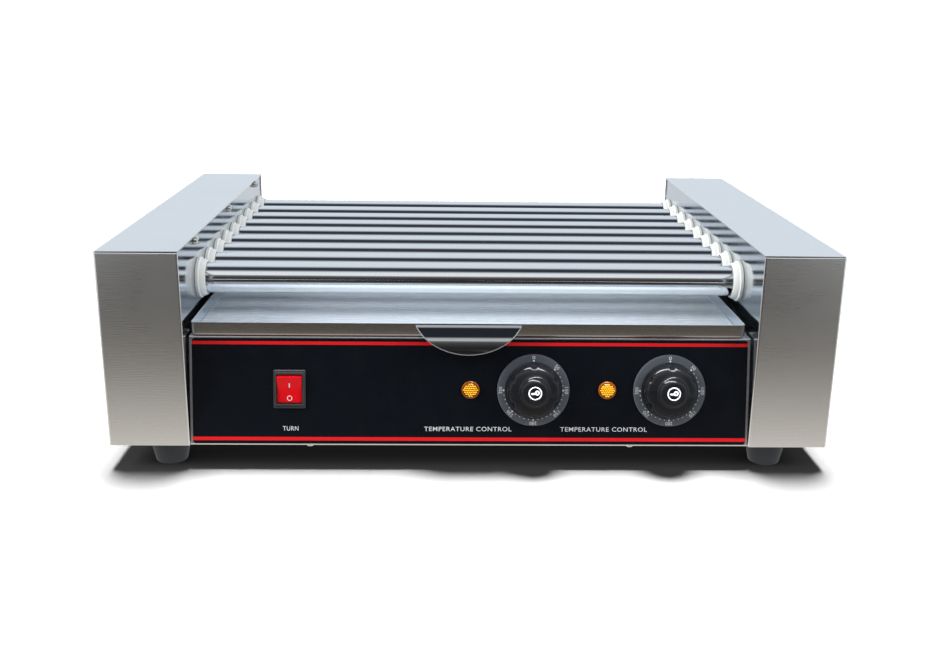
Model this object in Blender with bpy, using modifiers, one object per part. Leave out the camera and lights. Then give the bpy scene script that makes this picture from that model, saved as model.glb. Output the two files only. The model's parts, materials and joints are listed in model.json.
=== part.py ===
"""Hot dog roller grill: nine chain-driven, heated rollers between two end housings, over a drip tray.

Axes: X runs along the rollers, Y from the control panel (-Y) to the back, Z up.
The origin is on the standing surface, below the middle of the grill.
"""

import math

import bmesh
import bpy
from mathutils import Matrix, Vector

# Overall size, metres
WIDTH = 0.580
DEPTH = 0.400
HOUSING_HEIGHT = 0.159
FOOT_HEIGHT = 0.020
SHEET = 0.001
GAP = 0.0003

# End housings: the covers stop just short of the side plates' inner faces
COVER_INNER_X = 0.2256
PLATE_INNER_X = 0.2268
BEND_RADIUS = 0.0015
COVER_FLANGE_DROP = 0.012
COVER_SCREW_DEPTHS = (0.061, 0.208, 0.355)
COVER_SCREW_HEIGHT = 0.1539
SCREW_SHANK_RADIUS = 0.002
SCREW_HOLE_RADIUS = 0.0024

# Rollers, their bushes and their heating rods
ROLLER_COUNT = 9
ROLLER_RADIUS = 0.0127
ROLLER_WALL = 0.001
ROLLER_PITCH = 0.0381
ROLLER_FIRST_DEPTH = 0.0723
ROLLER_HEIGHT = 0.1215
ROLLER_DRIVE_END_X = -0.247
ROLLER_FREE_END_X = 0.237
BUSH_BORE = 0.01315
BUSH_NECK_RADIUS = 0.0152
BUSH_HOLE_RADIUS = 0.0156
BUSH_RIM_RADIUS = 0.0170
BUSH_NOSE_RADIUS = 0.0139
BUSH_NOSE_LENGTH = 0.0080
HEATER_RADIUS = 0.004
HEATER_BRACKET_X = 0.250
HEATER_CHANNEL_HALF_HEIGHT = 0.0195
HEATER_ANGLE_X = 0.2600
HEATER_ANGLE_RISE = 0.0235

# Chain drive: 6.35 mm pitch chain in the left housing
CHAIN_PITCH = 0.00635
ROLLER_TEETH = 16
MOTOR_TEETH = 12
SPROCKET_X = -0.240
SPROCKET_THICKNESS = 0.0028
CHAIN_WIDTH = 0.006
CHAIN_GROOVE = 0.0036
CHAIN_HALF_DEPTH = 0.0029
TOOTH_TIP = 0.0012
TOOTH_ROOT = 0.0017
MOTOR_DEPTH = 0.2247
MOTOR_HEIGHT = 0.045
MOTOR_SHAFT_RADIUS = 0.004

# Base pan, rear panel and sloped front panel
PAN_UNDERSIDE = 0.0013
PAN_TOP = 0.0025
PAN_FRONT_DEPTH = 0.003
REAR_PANEL_TOP = 0.104
GLAND_REACH = 0.0133
PANEL_HALF_WIDTH = 0.2253
PANEL_BOTTOM_DEPTH = 0.001
PANEL_TOP_DEPTH = 0.019
PANEL_TOP_HEIGHT = 0.0865
PANEL_FLANGE = 0.015
TRAY_LEDGE_HEIGHT = 0.0877
PANEL_SLOPE = math.atan2(PANEL_TOP_DEPTH - PANEL_BOTTOM_DEPTH, PANEL_TOP_HEIGHT)
PANEL_FACE = math.hypot(PANEL_TOP_DEPTH - PANEL_BOTTOM_DEPTH, PANEL_TOP_HEIGHT)

# Controls: across the panel, and up its sloped face
CONTROL_V = 0.046
OVERLAY_HALF_WIDTH = 0.2232
OVERLAY_MARGIN = 0.0016
OVERLAY_FRONT = 0.0008
SEAT = 0.0011
SWITCH_U = -0.1456
SWITCH_BEZEL = (0.0256, 0.0310)
SWITCH_BODY = (0.0232, 0.0272)
SWITCH_CUTOUT = (0.0240, 0.0280)
SWITCH_POCKET = (0.0206, 0.0236)
SWITCH_BEZEL_FRONT = 0.0033
SWITCH_BACK = -0.024
ROCKER_WIDTH = 0.0200
ROCKER_RADIUS = 0.0114
ROCKER_TILT = math.radians(9)
LAMP_US = (-0.0006, 0.1097)
LAMP_HOLE_RADIUS = 0.0063
DIAL_US = (0.0500, 0.1600)
DIAL_RADIUS = 0.0292
SHAFT_RADIUS = 0.003
SHAFT_HOLE_RADIUS = 0.005
THERMOSTAT_SIZE = 0.042
THERMOSTAT_FRONT = -0.008
THERMOSTAT_BACK = -0.038

# Drip tray and its cupped handle
TRAY_CENTRE_X = -0.0016
TRAY_HALF_WIDTH = 0.2216
TRAY_FRONT_DEPTH = 0.0145
TRAY_BACK_DEPTH = 0.3840
TRAY_BOTTOM = 0.0880
TRAY_TOP = 0.0990
TRAY_SHEET = 0.0008
HANDLE_CENTRE_X = -0.0026
HANDLE_ARC = 0.0203
HANDLE_TOP = 0.0982
HANDLE_CUT_RADIUS = 0.0542

# Feet
FOOT_X = 0.246
FOOT_DEPTHS = (0.022, 0.378)

ROUND = 20
SMALL_ROUND = 16
TINY_ROUND = 12
ROD_SIDES = 8


def at(x, depth, height):
    """World point, from the depth behind the front faces and the height above the housings."""
    return Vector((x, depth - DEPTH / 2, FOOT_HEIGHT + height))


def roller_axis(index, x=0.0):
    """Point on a roller's axis."""
    return at(x, ROLLER_FIRST_DEPTH + index * ROLLER_PITCH, ROLLER_HEIGHT)


def pitch_radius(teeth):
    """Radius of a sprocket's pitch circle."""
    return CHAIN_PITCH / 2 / math.sin(math.pi / teeth)


ALONG_X = Matrix(((0, 0, 1, 0), (1, 0, 0, 0), (0, 1, 0, 0), (0, 0, 0, 1)))
ALONG_MINUS_X = Matrix.Rotation(math.pi, 4, "Z") @ ALONG_X
OUT_OF_PANEL = Matrix.Rotation(math.pi / 2, 4, "X")
TOWARDS_BACK = Matrix.Rotation(-math.pi / 2, 4, "X")


class Model:
    """The collections, materials and shape helpers that every sub-part uses."""

    def __init__(self):
        for obj in list(bpy.data.objects):
            bpy.data.objects.remove(obj, do_unlink=True)
        self.parts = self.collection("hot_dog_roller_grill")
        self.cutters = self.collection("cutters")
        self.panel = bpy.data.objects.new("panel_frame", None)
        self.parts.objects.link(self.panel)
        self.panel.matrix_world = (
            Matrix.Translation(at(0, PANEL_BOTTOM_DEPTH, 0)) @ Matrix.Rotation(-PANEL_SLOPE, 4, "X")
        )

    @staticmethod
    def collection(name):
        made = bpy.data.collections.new(name)
        bpy.context.scene.collection.children.link(made)
        return made

    @staticmethod
    def material(name, colour, roughness, metallic=0.0):
        """A Principled BSDF material, made once and then reused."""
        found = bpy.data.materials.get(name)
        if found:
            return found
        made = bpy.data.materials.new(name)
        made.use_nodes = True
        shader = made.node_tree.nodes["Principled BSDF"]
        shader.inputs["Base Color"].default_value = (*colour, 1.0)
        shader.inputs["Roughness"].default_value = roughness
        shader.inputs["Metallic"].default_value = metallic
        made.diffuse_color = (*colour, 1.0)
        return made

    def add(self, name, mesh, material=None, matrix=None, parent=None):
        """Links a mesh as a part, or as a cutter when it has no material."""
        obj = bpy.data.objects.new(name, mesh)
        if material is None:
            self.cutters.objects.link(obj)
            obj.hide_render = True
            obj.display_type = "WIRE"
        else:
            self.parts.objects.link(obj)
            if not mesh.materials:
                mesh.materials.append(material)
        obj.parent = parent
        if matrix is not None:
            obj.matrix_local = matrix
        return obj

    def boolean(self, obj, operation, other):
        """Cuts, joins or intersects obj with another mesh object."""
        modifier = obj.modifiers.new(operation.lower(), "BOOLEAN")
        modifier.operation = operation
        modifier.solver = "EXACT"
        modifier.object = other
        return obj

    def evaluated_mesh(self, obj, name):
        """A welded mesh of obj as its modifiers or its curve make it. obj is removed."""
        bpy.context.view_layer.update()
        graph = bpy.context.evaluated_depsgraph_get()
        mesh = bpy.data.meshes.new_from_object(obj.evaluated_get(graph))
        mesh.name = name
        bpy.data.objects.remove(obj, do_unlink=True)
        work = bmesh.new()
        work.from_mesh(mesh)
        bmesh.ops.remove_doubles(work, verts=work.verts, dist=1e-6)
        bmesh.ops.dissolve_limit(work, angle_limit=0.001, verts=work.verts, edges=work.edges)
        bmesh.ops.recalc_face_normals(work, faces=work.faces)
        work.to_mesh(mesh)
        work.free()
        return mesh


def solid_mesh(name, *shapes):
    """One mesh from boxes (low, high) and rods (start, end, radius, sides)."""
    work = bmesh.new()
    for shape in shapes:
        if len(shape) == 2:
            low, high = Vector(shape[0]), Vector(shape[1])
            size = high - low
            place = Matrix.Translation((low + high) / 2) @ Matrix.Diagonal((*size, 1.0))
            bmesh.ops.create_cube(work, size=1.0, matrix=place)
        else:
            start, end, radius, sides = Vector(shape[0]), Vector(shape[1]), shape[2], shape[3]
            turn = (end - start).to_track_quat("Z", "Y").to_matrix().to_4x4()
            bmesh.ops.create_cone(
                work,
                cap_ends=True,
                segments=sides,
                radius1=radius,
                radius2=radius,
                depth=(end - start).length,
                matrix=Matrix.Translation((start + end) / 2) @ turn,
            )
    mesh = bpy.data.meshes.new(name)
    work.to_mesh(mesh)
    work.free()
    return mesh


def profile_mesh(name, points, closed):
    """A line of (radius, height) points for a Screw modifier."""
    mesh = bpy.data.meshes.new(name)
    count = len(points)
    edges = [(i, i + 1) for i in range(count - 1)]
    if closed:
        edges.append((count - 1, 0))
    mesh.from_pydata([(r, 0.0, z) for r, z in points], edges, [])
    return mesh


def turn_round(obj, sides):
    """Turns obj's profile about its own Z axis."""
    screw = obj.modifiers.new("turn", "SCREW")
    screw.axis = "Z"
    screw.angle = 2 * math.pi
    screw.steps = sides
    screw.render_steps = sides
    screw.use_merge_vertices = True
    screw.merge_threshold = 0.00001
    return obj


def turned_part(model, name, points, closed, sides, material, matrix, parent=None):
    """A part turned from a profile that runs down its outer side."""
    obj = model.add(name, profile_mesh(name, points, closed), material, matrix, parent)
    return turn_round(obj, sides)


def outline_mesh(model, name, loops, thickness):
    """A flat plate in the local XY plane from closed outlines, later ones being holes."""
    curve = bpy.data.curves.new(name, "CURVE")
    curve.dimensions = "2D"
    curve.fill_mode = "BOTH"
    curve.extrude = thickness / 2
    for loop in loops:
        spline = curve.splines.new("POLY")
        spline.points.add(len(loop) - 1)
        spline.use_cyclic_u = True
        for point, (x, y) in zip(spline.points, loop):
            point.co = (x, y, 0.0, 1.0)
    obj = bpy.data.objects.new(name, curve)
    model.cutters.objects.link(obj)
    return model.evaluated_mesh(obj, name)


def folded_mesh(name, points, x_low, x_high):
    """An open sheet: a line of (depth, height) points drawn along X."""
    work = bmesh.new()
    verts = [work.verts.new(at(x_low, depth, height)) for depth, height in points]
    edges = [work.edges.new(pair) for pair in zip(verts, verts[1:])]
    drawn = bmesh.ops.extrude_edge_only(work, edges=edges)
    moved = [v for v in drawn["geom"] if isinstance(v, bmesh.types.BMVert)]
    bmesh.ops.translate(work, verts=moved, vec=(x_high - x_low, 0, 0))
    mesh = bpy.data.meshes.new(name)
    work.to_mesh(mesh)
    work.free()
    return mesh


def thicken(obj, thickness, offset):
    """Gives an open sheet its thickness, to one side of it."""
    solid = obj.modifiers.new("sheet", "SOLIDIFY")
    solid.thickness = thickness
    solid.offset = offset
    solid.use_even_offset = True
    return obj


def circle(radius, sides):
    """Points of a circle about the origin."""
    return [
        (radius * math.cos(2 * math.pi * i / sides), radius * math.sin(2 * math.pi * i / sides))
        for i in range(sides)
    ]


def tooth_outline(teeth):
    """A sprocket's outline, with a valley at the top."""
    tip = pitch_radius(teeth) + TOOTH_TIP
    root = pitch_radius(teeth) - TOOTH_ROOT
    step = 2 * math.pi / teeth
    points = []
    for i in range(teeth):
        valley = math.pi / 2 + i * step
        for radius, share in ((root, 0.0), (tip, 0.40), (tip, 0.60)):
            angle = valley + share * step
            points.append((radius * math.cos(angle), radius * math.sin(angle)))
    return points


def chain_loop(offset):
    """The chain's path round the end sprockets and the motor sprocket, moved outwards by offset."""
    hub = at(0, MOTOR_DEPTH, MOTOR_HEIGHT)
    first, last = roller_axis(0), roller_axis(ROLLER_COUNT - 1)
    wheels = [
        (hub.yz, pitch_radius(MOTOR_TEETH) + offset),
        (last.yz, pitch_radius(ROLLER_TEETH) + offset),
        (first.yz, pitch_radius(ROLLER_TEETH) + offset),
    ]
    normals = []
    for (start, start_r), (end, end_r) in zip(wheels, wheels[1:] + wheels[:1]):
        run = end - start
        heading = math.atan2(run.y, run.x)
        normals.append(heading - math.acos((start_r - end_r) / run.length))
    points = []
    for i, (centre, radius) in enumerate(wheels):
        begin, finish = normals[i - 1], normals[i]
        sweep = (finish - begin) % (2 * math.pi)
        steps = max(4, round(sweep / math.radians(18)))
        for k in range(steps + 1):
            angle = begin + sweep * k / steps
            points.append((centre.x + radius * math.cos(angle), centre.y + radius * math.sin(angle)))
    return points


def end_cover(model, name, side):
    """A folded box that is open below and towards the rollers."""
    steel = model.material("brushed_steel", (0.62, 0.63, 0.64), 0.32, 1.0)
    ends = sorted((side * WIDTH / 2, side * COVER_INNER_X))
    mesh = solid_mesh(name, (at(ends[0], 0, 0), at(ends[1], DEPTH, HOUSING_HEIGHT)))
    work = bmesh.new()
    work.from_mesh(mesh)
    work.normal_update()
    missing = [f for f in work.faces if f.normal.z < -0.5 or f.normal.x * side < -0.5]
    bmesh.ops.delete(work, geom=missing, context="FACES")
    bends = [e for e in work.edges if len(e.link_faces) == 2]
    bmesh.ops.bevel(work, geom=bends, offset=BEND_RADIUS, segments=2, profile=0.5, affect="EDGES")
    work.to_mesh(mesh)
    work.free()
    return thicken(model.add(name, mesh, steel), SHEET, -1)


def left_cover(model):
    """The drive-side cover, with a hidden flange that its three screws go into."""
    cover = end_cover(model, "left_end_cover", -1)
    outer = -(PLATE_INNER_X + SHEET + GAP)
    top = HOUSING_HEIGHT - SHEET / 2
    flange = solid_mesh(
        "cover_flange",
        (
            at(outer - SHEET, 0.012, HOUSING_HEIGHT - COVER_FLANGE_DROP),
            at(outer, DEPTH - 0.012, top),
        ),
    )
    model.boolean(cover, "UNION", model.add("cover_flange", flange))
    model.boolean(cover, "DIFFERENCE", screw_hole_cutter(model, "flange_holes"))


def screw_hole_cutter(model, name):
    """Clearance holes for the cover screws, through the left side plate's line."""
    rods = [
        (
            at(-PLATE_INNER_X + 0.002, depth, COVER_SCREW_HEIGHT),
            at(-PLATE_INNER_X - 0.004, depth, COVER_SCREW_HEIGHT),
            SCREW_HOLE_RADIUS,
            TINY_ROUND,
        )
        for depth in COVER_SCREW_DEPTHS
    ]
    return model.add(name, solid_mesh(name, *rods))


def side_plate(model, name, side):
    """A polished plate that carries one end of every roller."""
    steel = model.material("polished_steel", (0.70, 0.71, 0.73), 0.12, 1.0)
    faces = sorted((side * PLATE_INNER_X, side * (PLATE_INNER_X + SHEET)))
    low = at(faces[0], SHEET + 0.0005, PAN_TOP + GAP)
    high = at(faces[1], DEPTH - SHEET - 0.0005, HOUSING_HEIGHT - SHEET - GAP)
    plate = model.add(name, solid_mesh(name, (low, high)), steel)
    reach = side * (PLATE_INNER_X - 0.003), side * (PLATE_INNER_X + 0.004)
    holes = [
        (roller_axis(i, reach[0]), roller_axis(i, reach[1]), BUSH_HOLE_RADIUS, SMALL_ROUND)
        for i in range(ROLLER_COUNT)
    ]
    if side < 0:
        start, end = (at(x, MOTOR_DEPTH, MOTOR_HEIGHT) for x in reach)
        holes.append((start, end, MOTOR_SHAFT_RADIUS + 0.002, SMALL_ROUND))
    cutter = model.add(name + "_holes", solid_mesh(name + "_holes", *holes))
    model.boolean(plate, "DIFFERENCE", cutter)
    if side < 0:
        model.boolean(plate, "DIFFERENCE", screw_hole_cutter(model, "plate_screw_holes"))


def cover_screws(model):
    """Three pan-head screws that hold the left cover to its side plate."""
    steel = model.material("screw_steel", (0.60, 0.58, 0.54), 0.25, 1.0)
    head = [(0, 0.0027), (0.0026, 0.0025), (0.0038, 0.0012), (0.0038, GAP)]
    shank = [(SCREW_SHANK_RADIUS, GAP), (SCREW_SHANK_RADIUS, -0.007), (0, -0.007)]
    for i, depth in enumerate(COVER_SCREW_DEPTHS):
        place = Matrix.Translation(at(-PLATE_INNER_X, depth, COVER_SCREW_HEIGHT)) @ ALONG_X
        name = f"cover_screw_{i + 1}"
        turned_part(model, name, head + shank, False, TINY_ROUND, steel, place)


def base_pan(model):
    """The floor of the grill, with cooling slots."""
    steel = model.material("sheet_steel", (0.55, 0.56, 0.57), 0.40, 1.0)
    half = WIDTH / 2 - SHEET - 0.0005
    low = at(-half, PAN_FRONT_DEPTH, PAN_UNDERSIDE)
    high = at(half, DEPTH - SHEET - 0.0005, PAN_TOP)
    pan = model.add("base_pan", solid_mesh("base_pan", (low, high)), steel)
    slots = []
    for depth in (0.12, 0.28):
        for i in range(-3, 4):
            x = i * 0.045
            slots.append((at(x - 0.003, depth - 0.02, -0.003), at(x + 0.003, depth + 0.02, 0.006)))
    model.boolean(pan, "DIFFERENCE", model.add("pan_slots", solid_mesh("pan_slots", *slots)))


def rear_panel(model):
    """The back sheet between the side plates, with a ledge for the tray and a cord hole."""
    steel = model.material("brushed_steel", (0.62, 0.63, 0.64), 0.32, 1.0)
    outer = DEPTH - 0.0015
    low = at(-PANEL_HALF_WIDTH, outer - SHEET, PAN_TOP + GAP)
    high = at(PANEL_HALF_WIDTH, outer, REAR_PANEL_TOP)
    panel = model.add("rear_panel", solid_mesh("rear_panel", (low, high)), steel)
    ledge_low = at(-PANEL_HALF_WIDTH, outer - 0.013, TRAY_LEDGE_HEIGHT - SHEET)
    ledge_high = at(PANEL_HALF_WIDTH, outer - SHEET / 2, TRAY_LEDGE_HEIGHT)
    ledge = model.add("rear_ledge", solid_mesh("rear_ledge", (ledge_low, ledge_high)))
    model.boolean(panel, "UNION", ledge)
    cuts = [
        (at(x - 0.0025, outer - 0.004, 0.045), at(x + 0.0025, outer + 0.003, 0.075))
        for x in (0.012 * i for i in range(-6, 7))
    ]
    gland = gland_place()
    cuts.append((gland - Vector((0, 0.005, 0)), gland + Vector((0, 0.005, 0)), 0.0074, SMALL_ROUND))
    model.boolean(panel, "DIFFERENCE", model.add("rear_cuts", solid_mesh("rear_cuts", *cuts)))


def gland_place():
    """Where the mains cord goes through the rear panel's outer face."""
    return at(0.185, DEPTH - 0.0015, 0.028)


def cord_gland(model):
    """Strain relief bush of the mains cord, which is not fitted."""
    black = model.material("black_plastic", (0.03, 0.03, 0.03), 0.45)
    outside = [(0.0060, GLAND_REACH), (0.0085, 0.0035), (0.0100, 0.0035), (0.0100, GAP)]
    inside = [(0.0070, GAP), (0.0070, -0.0060), (0.0042, -0.0060), (0.0042, GLAND_REACH)]
    place = Matrix.Translation(gland_place()) @ TOWARDS_BACK
    turned_part(model, "cord_gland", outside + inside, True, SMALL_ROUND, black, place)


def front_panel(model):
    """The sloped control panel, with its folded flanges and its cut-outs."""
    steel = model.material("brushed_steel", (0.62, 0.63, 0.64), 0.32, 1.0)
    back = PANEL_TOP_DEPTH + PANEL_FLANGE
    line = [
        (back, TRAY_LEDGE_HEIGHT),
        (back, PANEL_TOP_HEIGHT),
        (PANEL_TOP_DEPTH, PANEL_TOP_HEIGHT),
        (PANEL_BOTTOM_DEPTH, 0.0),
        (PANEL_BOTTOM_DEPTH + 0.017, 0.0),
    ]
    mesh = folded_mesh("front_panel", line, -PANEL_HALF_WIDTH, PANEL_HALF_WIDTH)
    panel = thicken(model.add("front_panel", mesh, steel), SHEET, 1)
    model.boolean(panel, "DIFFERENCE", control_cutter(model, "panel_cuts"))


def panel_box(centre, size, back, front):
    """A box on the panel: centre and size across and up it, back and front out of it."""
    return (
        (centre[0] - size[0] / 2, -front, centre[1] - size[1] / 2),
        (centre[0] + size[0] / 2, -back, centre[1] + size[1] / 2),
    )


def control_cutter(model, name):
    """The holes for the switch, the lamps and the thermostat shafts, square to the panel."""
    cuts = [panel_box((SWITCH_U, CONTROL_V), SWITCH_CUTOUT, -0.006, 0.006)]
    rounds = [(u, LAMP_HOLE_RADIUS) for u in LAMP_US] + [(u, SHAFT_HOLE_RADIUS) for u in DIAL_US]
    for u, radius in rounds:
        cuts.append(((u, -0.006, CONTROL_V), (u, 0.006, CONTROL_V), radius, SMALL_ROUND))
    return model.add(name, solid_mesh(name, *cuts), parent=model.panel)


def control_overlay(model):
    """The printed plastic sheet on the front panel."""
    black = model.material("overlay_black", (0.008, 0.009, 0.012), 0.28)
    height = PANEL_FACE - 2 * OVERLAY_MARGIN
    size = (2 * OVERLAY_HALF_WIDTH, height)
    box = panel_box((0.0, PANEL_FACE / 2), size, GAP, OVERLAY_FRONT)
    mesh = solid_mesh("control_overlay", box)
    overlay = model.add("control_overlay", mesh, black, parent=model.panel)
    model.boolean(overlay, "DIFFERENCE", control_cutter(model, "overlay_cuts"))


def rocker_switch(model):
    """The switch housing and the red rocker that tips in its pocket."""
    black = model.material("black_plastic", (0.03, 0.03, 0.03), 0.45)
    red = model.material("rocker_red", (0.72, 0.02, 0.02), 0.30)
    centre = (SWITCH_U, CONTROL_V)
    bezel = panel_box(centre, SWITCH_BEZEL, SEAT, SWITCH_BEZEL_FRONT)
    body = panel_box(centre, SWITCH_BODY, SWITCH_BACK, (SEAT + SWITCH_BEZEL_FRONT) / 2)
    pocket = panel_box(centre, SWITCH_POCKET, -0.014, 0.006)
    housing = model.add("switch_housing", solid_mesh("switch_housing", bezel), black, parent=model.panel)
    joined = model.add("switch_body", solid_mesh("switch_body", body), parent=model.panel)
    model.boolean(housing, "UNION", joined)
    hollow = model.add("switch_pocket", solid_mesh("switch_pocket", pocket), parent=model.panel)
    model.boolean(housing, "DIFFERENCE", hollow)
    ends = [math.radians(a) for a in (-24, -8, 8, 25)]
    right = [(ROCKER_RADIUS * math.cos(a), ROCKER_RADIUS * math.sin(a)) for a in ends]
    left = [(-x, y) for x, y in reversed(right)]
    outline = right + [(0.0, 0.0030)] + left + [(0.0, -0.0075)]
    mesh = outline_mesh(model, "switch_rocker", [outline], ROCKER_WIDTH)
    across = Matrix(((0, 0, 1, 0), (0, -1, 0, 0), (1, 0, 0, 0), (0, 0, 0, 1)))
    tilt = Matrix.Rotation(ROCKER_TILT, 4, "X")
    place = Matrix.Translation((SWITCH_U, 0.001, CONTROL_V)) @ tilt @ across
    model.add("switch_rocker", mesh, red, place, model.panel)


def on_panel(u):
    """The place of a control at u, its Z axis out of the panel."""
    return Matrix.Translation((u, 0.0, CONTROL_V)) @ OUT_OF_PANEL


def indicator_lamps(model):
    """Amber pilot lamps, each a domed lens on a barrel."""
    amber = model.material("lamp_amber", (0.90, 0.42, 0.05), 0.20)
    lens = [(0, 0.0046), (0.0040, 0.0043), (0.0063, 0.0031), (0.00725, 0.0025), (0.00725, SEAT)]
    barrel = [(0.0058, SEAT), (0.0058, -0.020), (0, -0.020)]
    for side, u in zip(("left", "right"), LAMP_US):
        name = f"indicator_lamp_{side}"
        turned_part(model, name, lens + barrel, False, SMALL_ROUND, amber, on_panel(u), model.panel)


def thermostat_controls(model):
    """Each thermostat's dial ring and knob in front of the panel, and its body behind."""
    ring_black = model.material("dial_black", (0.05, 0.055, 0.06), 0.40)
    knob_black = model.material("knob_black", (0.015, 0.015, 0.018), 0.25)
    body_grey = model.material("thermostat_body", (0.35, 0.34, 0.32), 0.50)
    ring = [(0.0229, 0.0034), (DIAL_RADIUS - 0.0008, 0.0034), (DIAL_RADIUS, 0.0026), (DIAL_RADIUS, SEAT)]
    ring += [(SHAFT_HOLE_RADIUS, SEAT), (SHAFT_HOLE_RADIUS, 0.0020), (0.0229, 0.0020)]
    knob = [(0, 0.0215), (0.0070, 0.0212), (0.0104, 0.0198), (0.0114, 0.0172), (0.0196, 0.0150)]
    knob += [(0.0211, 0.0132), (0.0216, 0.0100), (0.0214, 0.0027), (SHAFT_RADIUS, 0.0027)]
    knob += [(SHAFT_RADIUS, THERMOSTAT_FRONT + 0.0005), (0, THERMOSTAT_FRONT + 0.0005)]
    size = (THERMOSTAT_SIZE, THERMOSTAT_SIZE)
    for side, u in zip(("left", "right"), DIAL_US):
        name = f"dial_ring_{side}"
        turned_part(model, name, ring, True, ROUND, ring_black, on_panel(u), model.panel)
        name = f"thermostat_knob_{side}"
        turned_part(model, name, knob, False, ROUND, knob_black, on_panel(u), model.panel)
        name = f"thermostat_{side}"
        body = panel_box((u, CONTROL_V), size, THERMOSTAT_BACK, THERMOSTAT_FRONT)
        model.add(name, solid_mesh(name, body), body_grey, parent=model.panel)


def roller_mesh(model):
    """A tube with its sprocket welded on near the drive end. Local Z runs along the roller."""
    inner = ROLLER_RADIUS - ROLLER_WALL
    low, high = ROLLER_DRIVE_END_X, ROLLER_FREE_END_X
    wall = [(ROLLER_RADIUS, high), (ROLLER_RADIUS, low), (inner, low), (inner, high)]
    tube = model.add("roller_tube", profile_mesh("roller_tube", wall, True))
    turn_round(tube, ROUND)
    hole = circle(ROLLER_RADIUS - ROLLER_WALL / 2, ROUND)
    plate = outline_mesh(model, "sprocket", [tooth_outline(ROLLER_TEETH), hole], SPROCKET_THICKNESS)
    sprocket = model.add("roller_sprocket", plate, matrix=Matrix.Translation((0, 0, SPROCKET_X)))
    model.boolean(tube, "UNION", sprocket)
    return model.evaluated_mesh(tube, "roller")


def rollers(model):
    """Nine identical rollers."""
    chrome = model.material("roller_chrome", (0.80, 0.80, 0.81), 0.10, 1.0)
    mesh = roller_mesh(model)
    for i in range(ROLLER_COUNT):
        place = Matrix.Translation(roller_axis(i)) @ ALONG_X
        model.add(f"roller_{i + 1}", mesh, chrome, place)


def roller_bushes(model):
    """Tapered bushes in the side plates, two for each roller."""
    white = model.material("bush_white", (0.86, 0.87, 0.84), 0.45)
    nose = [(BUSH_NOSE_RADIUS, BUSH_NOSE_LENGTH), (BUSH_RIM_RADIUS, 0.0030), (BUSH_RIM_RADIUS, 0.0006)]
    neck = [(BUSH_NECK_RADIUS, 0.0006), (BUSH_NECK_RADIUS, -0.0040)]
    bore = [(BUSH_BORE, -0.0040), (BUSH_BORE, BUSH_NOSE_LENGTH)]
    for side, turn, x in (("left", ALONG_X, -PLATE_INNER_X), ("right", ALONG_MINUS_X, PLATE_INNER_X)):
        for i in range(ROLLER_COUNT):
            name = f"roller_bush_{side}_{i + 1}"
            place = Matrix.Translation(roller_axis(i, x)) @ turn
            turned_part(model, name, nose + neck + bore, True, SMALL_ROUND, white, place)


def heater_bank(model):
    """The fixed heating rods, one inside each roller, held by a bracket in each housing."""
    grey = model.material("heater_grey", (0.30, 0.30, 0.30), 0.45, 1.0)
    plate_outer = PLATE_INNER_X + SHEET + GAP
    front, back = ROLLER_FIRST_DEPTH - 0.012, ROLLER_FIRST_DEPTH + 8 * ROLLER_PITCH + 0.012
    rods = [
        (roller_axis(i, -HEATER_ANGLE_X - 0.004), roller_axis(i, HEATER_BRACKET_X + 0.010), HEATER_RADIUS, ROD_SIDES)
        for i in range(ROLLER_COUNT)
    ]
    low, high = ROLLER_HEIGHT - HEATER_CHANNEL_HALF_HEIGHT, ROLLER_HEIGHT + HEATER_CHANNEL_HALF_HEIGHT
    rise = ROLLER_HEIGHT + HEATER_ANGLE_RISE
    web = (at(HEATER_BRACKET_X - SHEET, front, low), at(HEATER_BRACKET_X, back, high))
    top = (at(plate_outer, front, high - SHEET), at(HEATER_BRACKET_X - SHEET / 2, back, high))
    bottom = (at(plate_outer, front, low), at(HEATER_BRACKET_X - SHEET / 2, back, low + SHEET))
    hanger = (
        at(-HEATER_ANGLE_X, front, ROLLER_HEIGHT - 0.008),
        at(-HEATER_ANGLE_X + SHEET, back, rise),
    )
    flange = (at(-HEATER_ANGLE_X + SHEET / 2, front, rise - SHEET), at(-plate_outer, back, rise))
    bank = model.add("heater_bank", solid_mesh("heater_bank", web), grey)
    for name, shapes in (
        ("channel_top", [top]),
        ("channel_bottom", [bottom]),
        ("heating_rods", rods),
        ("hanger", [hanger]),
        ("hanger_flange", [flange]),
    ):
        model.boolean(bank, "UNION", model.add(name, solid_mesh(name, *shapes)))


def gear_motor(model):
    """Gearbox and motor can on the left side plate, under the tray."""
    grey = model.material("motor_grey", (0.45, 0.46, 0.48), 0.35, 1.0)
    can = [(0, 0.056), (0.026, 0.056), (0.026, 0.022), (0.030, 0.022), (0.030, 0)]
    bore = [(MOTOR_SHAFT_RADIUS + 0.0005, 0), (MOTOR_SHAFT_RADIUS + 0.0005, 0.007), (0, 0.007)]
    place = Matrix.Translation(at(-PLATE_INNER_X + GAP, MOTOR_DEPTH, MOTOR_HEIGHT)) @ ALONG_X
    turned_part(model, "gear_motor", can + bore, False, ROUND, grey, place)


def drive_sprocket(model):
    """The motor's output shaft with its sprocket."""
    steel = model.material("sprocket_steel", (0.40, 0.39, 0.37), 0.35, 1.0)
    plate = outline_mesh(model, "drive_sprocket", [tooth_outline(MOTOR_TEETH)], SPROCKET_THICKNESS)
    hub = at(SPROCKET_X, MOTOR_DEPTH, MOTOR_HEIGHT)
    sprocket = model.add("drive_sprocket", plate, steel, Matrix.Translation(hub) @ ALONG_X)
    ends = (hub + Vector((-0.003, 0, 0)), at(-PLATE_INNER_X + 0.0065, MOTOR_DEPTH, MOTOR_HEIGHT))
    shaft = solid_mesh("motor_shaft", (*ends, MOTOR_SHAFT_RADIUS, TINY_ROUND))
    model.boolean(sprocket, "UNION", model.add("motor_shaft", shaft))


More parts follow.
